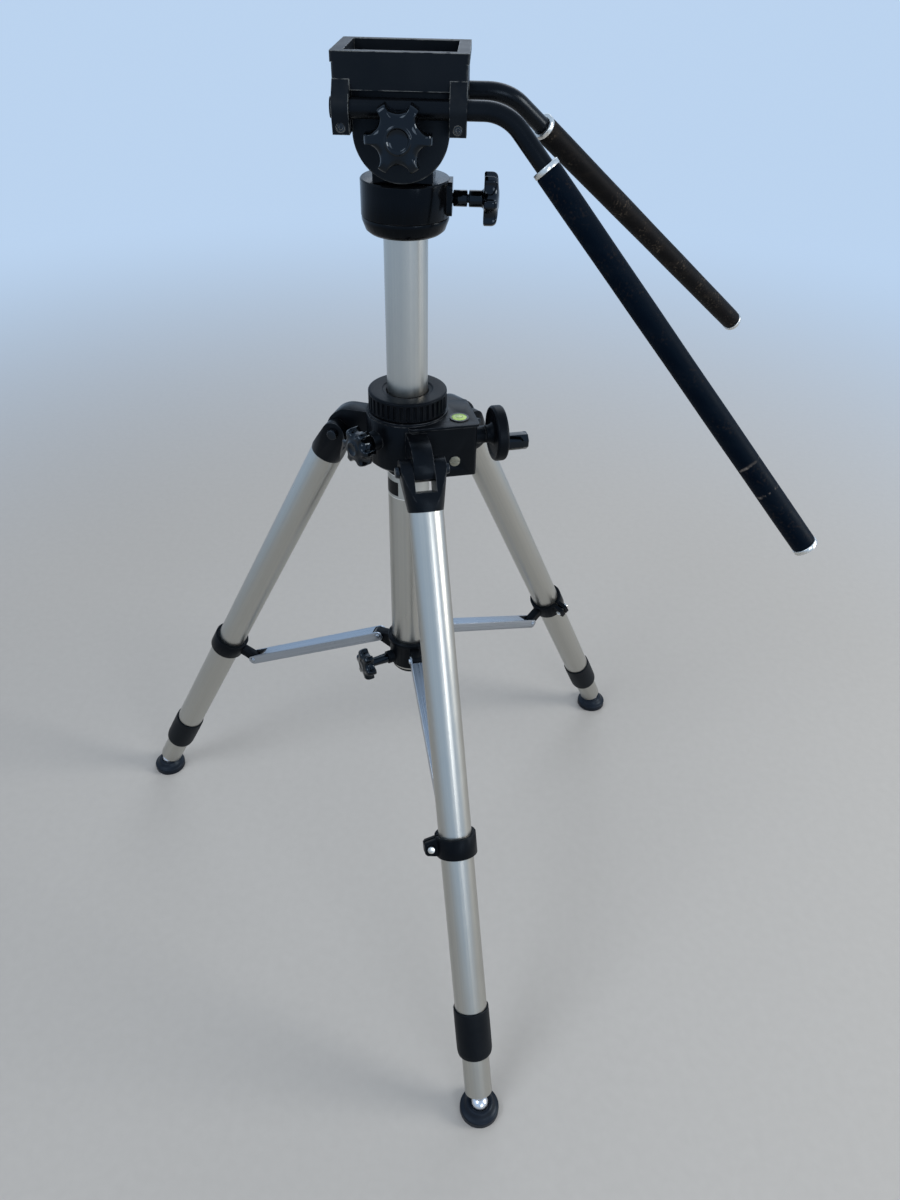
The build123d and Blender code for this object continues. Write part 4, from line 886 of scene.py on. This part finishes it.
def addCrank(values):
    # The wheel is a lathe ring about the crank's axis. The handle is a prism whose outline is a soft
    # octagon: cos(pi/8) / cos(angle from the nearest face's middle), blended towards a circle.
    axis = jointOf["crank_turn"]
    outwards = np.array(axis["axis"], float)
    start = np.array(axis["pos_m"], float)
    start = start - outwards * (start @ outwards)
    grid = turned(softProfile(values["wheel"]), start, outwards)
    makeSurface("crankWheelRim", grid, "crank_wheel", finishes["collar"], hoop=True, sharp=45)
    low, high = (np.array(corner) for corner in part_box("crank_grip"))
    middle = (low + high) / 2
    rows = np.array(values["gripRows"])
    angle = np.linspace(0, 2 * pi, 96, endpoint=False)[None, :]
    off = (angle + pi / 8) % (pi / 4) - pi / 8
    straight = (1 - values["gripRound"]) * cos(pi / 8) / np.cos(off)
    outline = values["gripAcross"] * (straight + values["gripRound"] * values["gripCircle"])
    side, up, ahead = axesAlong(outwards)
    radius = (outline - rows[:, 1:2]) * millimetre
    ring = np.cos(angle)[..., None] * side + np.sin(angle)[..., None] * up
    grid = middle + radius[..., None] * ring + (
        (rows[:, 0:1] - values["gripLength"] / 2) * millimetre
    )[..., None] * ahead
    makeSurface("crankHandle", grid, "crank_grip", finishes["knob"], sharp=30)


addCrank(crankValues)
print("crank")

# Handle grips.
gripValues = {
    "radius": 10.3, "waves": 0.10, "waveRates": (61, 23), "round": 0.7, "roundLength": 0.0012, "bore": 7.1
}


def addGrip(side, finish, values):
    # A foam tube between two rings: the radius has a slight slow wave along it and rounded ends.
    trim = frame["nodes"][f"{side}_grip_trim"].data
    points = np.empty(len(trim.vertices) * 3)
    trim.vertices.foreach_get("co", points)
    points = points.reshape(-1, 3)
    centre = points.mean(0)
    way = np.linalg.svd(points - centre, full_matrices=False)[2][0]
    way = way if way[0] > 0 else -way
    run = (points - centre) @ way
    upper, lower = points[run < 0], points[run > 0]
    top, bottom = upper.mean(0), lower.mean(0)
    start = top + way * (((upper - top) @ way).max())
    end = bottom + way * (((lower - bottom) @ way).min())
    long = np.linalg.norm(end - start)
    height = np.concatenate(
        [[0, 0.0002, 0.0007], np.linspace(0.002, long - 0.002, 60), [long - 0.0007, long - 0.0002, long]]
    )
    quick, slow = values["waveRates"]
    radius = values["radius"] + values["waves"] * (
        np.sin(height * quick) + np.sin(height * slow + 1.0)
    ) / 2 - values["waves"]
    inset = values["round"] * np.clip(
        1 - np.minimum(height, long - height) / values["roundLength"], 0, 1
    ) ** 2
    outside = np.stack([(radius - inset) * millimetre, height], axis=-1)
    inside = np.stack([np.full(2, values["bore"] * millimetre), height[[-1, 0]]], axis=-1)
    share = np.concatenate([height / long, [1.0, 0.0]])
    grid = turned(np.vstack([outside, inside]), start, way, 72)
    makeSurface(f"{side}GripFoam", grid, f"{side}_grip", finish, hoop=True, sharp=50, along=share)


for side in ("near", "far"):
    addGrip(side, finishes[f"{side}Grip"], gripValues)
print("grips")

# Round level.
vialValues = {
    "dark": (0.30, 0.52, 0.03), "light": (0.42, 0.68, 0.06), "ring": 0.0030, "ringHalfWidth": 0.0003,
    "ringColour": (0.03, 0.07, 0.01), "bubble": (0.0009, 0.0006), "bubbleRadius": 0.0019,
    "bubbleSoft": 0.0002, "bubbleShare": 0.45, "bubbleColour": (0.75, 0.92, 0.35),
    "bubbleEdge": (0.0018, 0.0022), "edgeColour": (0.10, 0.20, 0.02), "soft": 0.00015, "dome": 0.7,
}


def addVial(values):
    # A low dome: the height falls with the square of the distance from its middle.
    low, high = (np.array(corner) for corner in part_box("level_vial"))
    middle, radius, tall = (low + high) / 2, (high[0] - low[0]) / 2, high[2] - low[2]
    share = np.linspace(1, 0.02, 14)
    dome = np.stack([radius * share, tall - values["dome"] * millimetre * share**2], axis=-1)
    profile = np.vstack([[(0.0002, 0), (radius, 0)], dome])
    centre = (middle[0], middle[1], high[2])
    finish = vialFinish(
        "vial",
        {
            **values,
            "centre": centre,
            "bubble": (middle[0] + values["bubble"][0], middle[1] + values["bubble"][1], high[2]),
        },
    )
    makeSurface(
        "levelDome",
        turned(profile, (middle[0], middle[1], low[2]), (0, 0, 1), 64),
        "level_vial",
        finish,
        sharp=50,
    )


addVial(vialValues)
print("round level")

# Label band under the shoulder, left bare: a black ring, a foil between two pale lines, a black patch.
# Depths are below the shoulder's lowest point, in millimetres.
labelValues = {
    "depth": 34.8, "proud": 0.15, "ring": 9.4, "line": 0.9, "patch": (16.5, 31.5), "patchTurn": -152.0,
    "patchSpan": 36.0, "foil": (0.50, 0.51, 0.49), "pale": (0.86, 0.86, 0.84),
    "black": (0.004, 0.0045, 0.006), "roughness": (0.30, 0.42), "foilShade": 0.92, "metallic": 0.95,
    "gloss": 0.15,
}


def labelFinish(name, values, top, radius):
    # Masks by height below the top, and for the patch by how far the point lies towards its direction.
    material, tree, shader = startMaterial(name)
    place = addNode(tree, "ShaderNodeTexCoord").outputs["Object"]
    height = addNode(tree, "ShaderNodeSeparateXYZ", None, {0: place}).outputs["Z"]
    below = mathNode(tree, "MULTIPLY", mathNode(tree, "SUBTRACT", top, height), 1 / millimetre)
    murk = useGroup(tree, grain, {"Scale": 260.0, "Detail": 4.0})

    def between(low, high):
        return mathNode(
            tree,
            "MULTIPLY",
            mathNode(tree, "GREATER_THAN", below, low),
            mathNode(tree, "LESS_THAN", below, high),
        )

    turn = radians(values["patchTurn"])
    towards = addNode(
        tree, "ShaderNodeVectorMath", {"operation": "DOT_PRODUCT"}, {0: place, 1: (cos(turn), sin(turn), 0)}
    ).outputs["Value"]
    patch = mathNode(
        tree,
        "MULTIPLY",
        between(*values["patch"]),
        mathNode(tree, "GREATER_THAN", towards, radius * cos(radians(values["patchSpan"]))),
    )
    lines = mathNode(
        tree,
        "ADD",
        between(values["ring"], values["ring"] + values["line"]),
        between(values["depth"] - values["line"], values["depth"]),
        True,
    )
    inked = mathNode(tree, "ADD", patch, between(-1.0, values["ring"]), True)
    colour = mixColour(
        tree,
        spread(tree, murk, 0, 1),
        tuple(values["foilShade"] * part for part in values["foil"]),
        values["foil"],
    )
    colour = mixColour(tree, lines, colour, values["pale"])
    colour = mixColour(tree, inked, colour, values["black"])
    tree.links.new(colour, shader.inputs["Base Color"])
    tree.links.new(
        mathNode(tree, "MULTIPLY", mathNode(tree, "SUBTRACT", 1.0, inked), values["metallic"]),
        shader.inputs["Metallic"],
    )
    tree.links.new(spread(tree, murk, *values["roughness"]), shader.inputs["Roughness"])
    shader.inputs["Specular IOR Level"].default_value = values["gloss"]
    return material


def addLabel(values):
    # A thin hoop round the guide tube, whose outside stands just proud of it.
    low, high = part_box("guide_tube")
    radius, top = (high.x - low.x) / 2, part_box("shoulder")[0].z
    proud, long = values["proud"] * millimetre, values["depth"] * millimetre
    profile = np.array(
        [(radius - proud, 0), (radius + proud, 0), (radius + proud, -long), (radius - proud, -long)]
    )
    finish = labelFinish("labelFoil", values, top, radius)
    makeSurface(
        "labelBand",
        turned(profile, (0, 0, top), (0, 0, 1), 128),
        "guide_tube",
        finish,
        hoop=True,
        stands=False,
    )


addLabel(labelValues)
print("label band")

# Castings and machined parts.
castValues = {
    "tilt_cheeks": {"round": 1.2},
    "tilt_yoke": {"round": 1.4},
    "pan_drum": {"round": 1.0},
    "head_base": {"round": 0.7},
    "shoulder": {"round": 0.9, "segments": 2},
    "hub_collar": {"round": 0.7, "segments": 2},
    "tilt_shaft": {"round": 0.6},
    "clamp_screws": {"round": 0.3, "segments": 2},
    "near_grip_trim": {"round": 0.5, "segments": 2},
    "far_grip_trim": {"round": 0.5, "segments": 2},
    "housing_plug": {"round": 0.3, "segments": 2},
    "leg_hinge_bolts": {"round": 0.6},
    "guide_tube_cap": {"round": 0.8},
    **{f"leg_{leg}_fork": {"round": 2.2} for leg in (1, 2, 3)},
    **{f"leg_{leg}_brace_collar": {"round": 0.8, "segments": 2} for leg in (1, 2, 3)},
    **{f"leg_{leg}_collar_screw": {"round": 0.3, "segments": 2} for leg in (1, 2, 3)},
    **{f"leg_{leg}_brace": {"round": 0.3, "segments": 2} for leg in (1, 2, 3)},
}
for node, values in castValues.items():
    softened(node, values)
print("castings")

# Floor, background and light.
studioValues = {
    "floor": (0.56, 0.57, 0.58), "floorShade": 0.96, "floorRoughness": 0.8, "floorGloss": 0.2,
    "floorReach": 60.0,
    "backdrop": (0.50, 0.655, 0.865), "backdropStart": 0.75, "backdropFull": 3.0,
    "worldLight": 0.36, "worldColour": (0.92, 0.96, 1.0),
    # Each lamp: name, place, the point it faces, side in metres, watts, colour.
    "lamps": [
        ("keyLamp", (-1.7, -1.6, 2.6), (0, 0, 0.55), 1.4, 24.0, (0.96, 0.98, 1.0)),
        ("warmLamp", (3.6, -0.41, 1.38), (0, 0, 0.4), 1.45, 84.0, (1.0, 0.945, 0.86)),
        ("frontLamp", (1.75, -3.24, 1.35), (0, 0, 0.4), 1.5, 25.0, (0.97, 0.98, 1.0)),
        ("backLamp", (0.4, 2.2, 2.2), (0, 0, 0.6), 1.8, 14.0, (0.95, 0.97, 1.0)),
    ],
}


def seenDirectly(tree):
    path = addNode(tree, "ShaderNodeLightPath")
    seen = mathNode(tree, "MAXIMUM", path.outputs["Is Camera Ray"], path.outputs["Is Glossy Ray"])
    return mathNode(tree, "MAXIMUM", seen, path.outputs["Is Transmission Ray"])


def addFloor(values):
    # A plain floor that fades with distance into the pale backdrop's own colour.
    reach = values["floorReach"]
    mesh = bpy.data.meshes.new("floor")
    mesh.from_pydata(
        [(-reach, -reach, 0), (reach, -reach, 0), (reach, reach, 0), (-reach, reach, 0)], [], [(0, 1, 2, 3)]
    )
    floor = bpy.data.objects.new("floor", mesh)
    scene.collection.objects.link(floor)
    material, tree, shader = startMaterial("floorFinish")
    speck = useGroup(tree, grain, {"Scale": 90.0, "Detail": 5.0})
    colour = values["floor"]
    tree.links.new(
        mixColour(
            tree, spread(tree, speck, 0, 1), tuple(values["floorShade"] * part for part in colour), colour
        ),
        shader.inputs["Base Color"],
    )
    shader.inputs["Roughness"].default_value = values["floorRoughness"]
    shader.inputs["Specular IOR Level"].default_value = values["floorGloss"]
    away = addNode(
        tree,
        "ShaderNodeVectorMath",
        {"operation": "LENGTH"},
        {0: addNode(tree, "ShaderNodeTexCoord").outputs["Object"]},
    ).outputs["Value"]
    far = addNode(
        tree,
        "ShaderNodeMapRange",
        {"interpolation_type": "SMOOTHSTEP"},
        {"Value": away, "From Min": values["backdropStart"], "From Max": values["backdropFull"]},
    ).outputs[0]
    pale = addNode(tree, "ShaderNodeEmission", None, {"Color": (*values["backdrop"], 1), "Strength": 1.0})
    mask = mathNode(tree, "MULTIPLY", far, seenDirectly(tree))
    both = addNode(tree, "ShaderNodeMixShader", None, {0: mask, 1: shader.outputs[0], 2: pale.outputs[0]})
    tree.links.new(both.outputs[0], tree.nodes["Material Output"].inputs[0])
    mesh.materials.append(material)


def addLamp(name, place, target, size, power, colour):
    data = bpy.data.lights.new(name, "AREA")
    data.size = size
    data.energy = power
    data.color = colour
    lamp = bpy.data.objects.new(name, data)
    lamp.location = place
    lamp.rotation_euler = (Vector(target) - Vector(place)).to_track_quat("-Z", "Y").to_euler()
    scene.collection.objects.link(lamp)


def addWorld(values):
    world = bpy.data.worlds.new("studio")
    scene.world = world
    world.use_nodes = True
    tree = world.node_tree
    tree.nodes.clear()
    shown = addNode(tree, "ShaderNodeBackground", None, {"Color": (*values["backdrop"], 1), "Strength": 1.0})
    lit = addNode(
        tree,
        "ShaderNodeBackground",
        None,
        {"Color": (*values["worldColour"], 1), "Strength": values["worldLight"]},
    )
    both = addNode(
        tree, "ShaderNodeMixShader", None, {0: seenDirectly(tree), 1: lit.outputs[0], 2: shown.outputs[0]}
    )
    tree.links.new(both.outputs[0], addNode(tree, "ShaderNodeOutputWorld").inputs[0])


addFloor(studioValues)
for lamp in studioValues["lamps"]:
    addLamp(*lamp)
addWorld(studioValues)
print("studio ready")
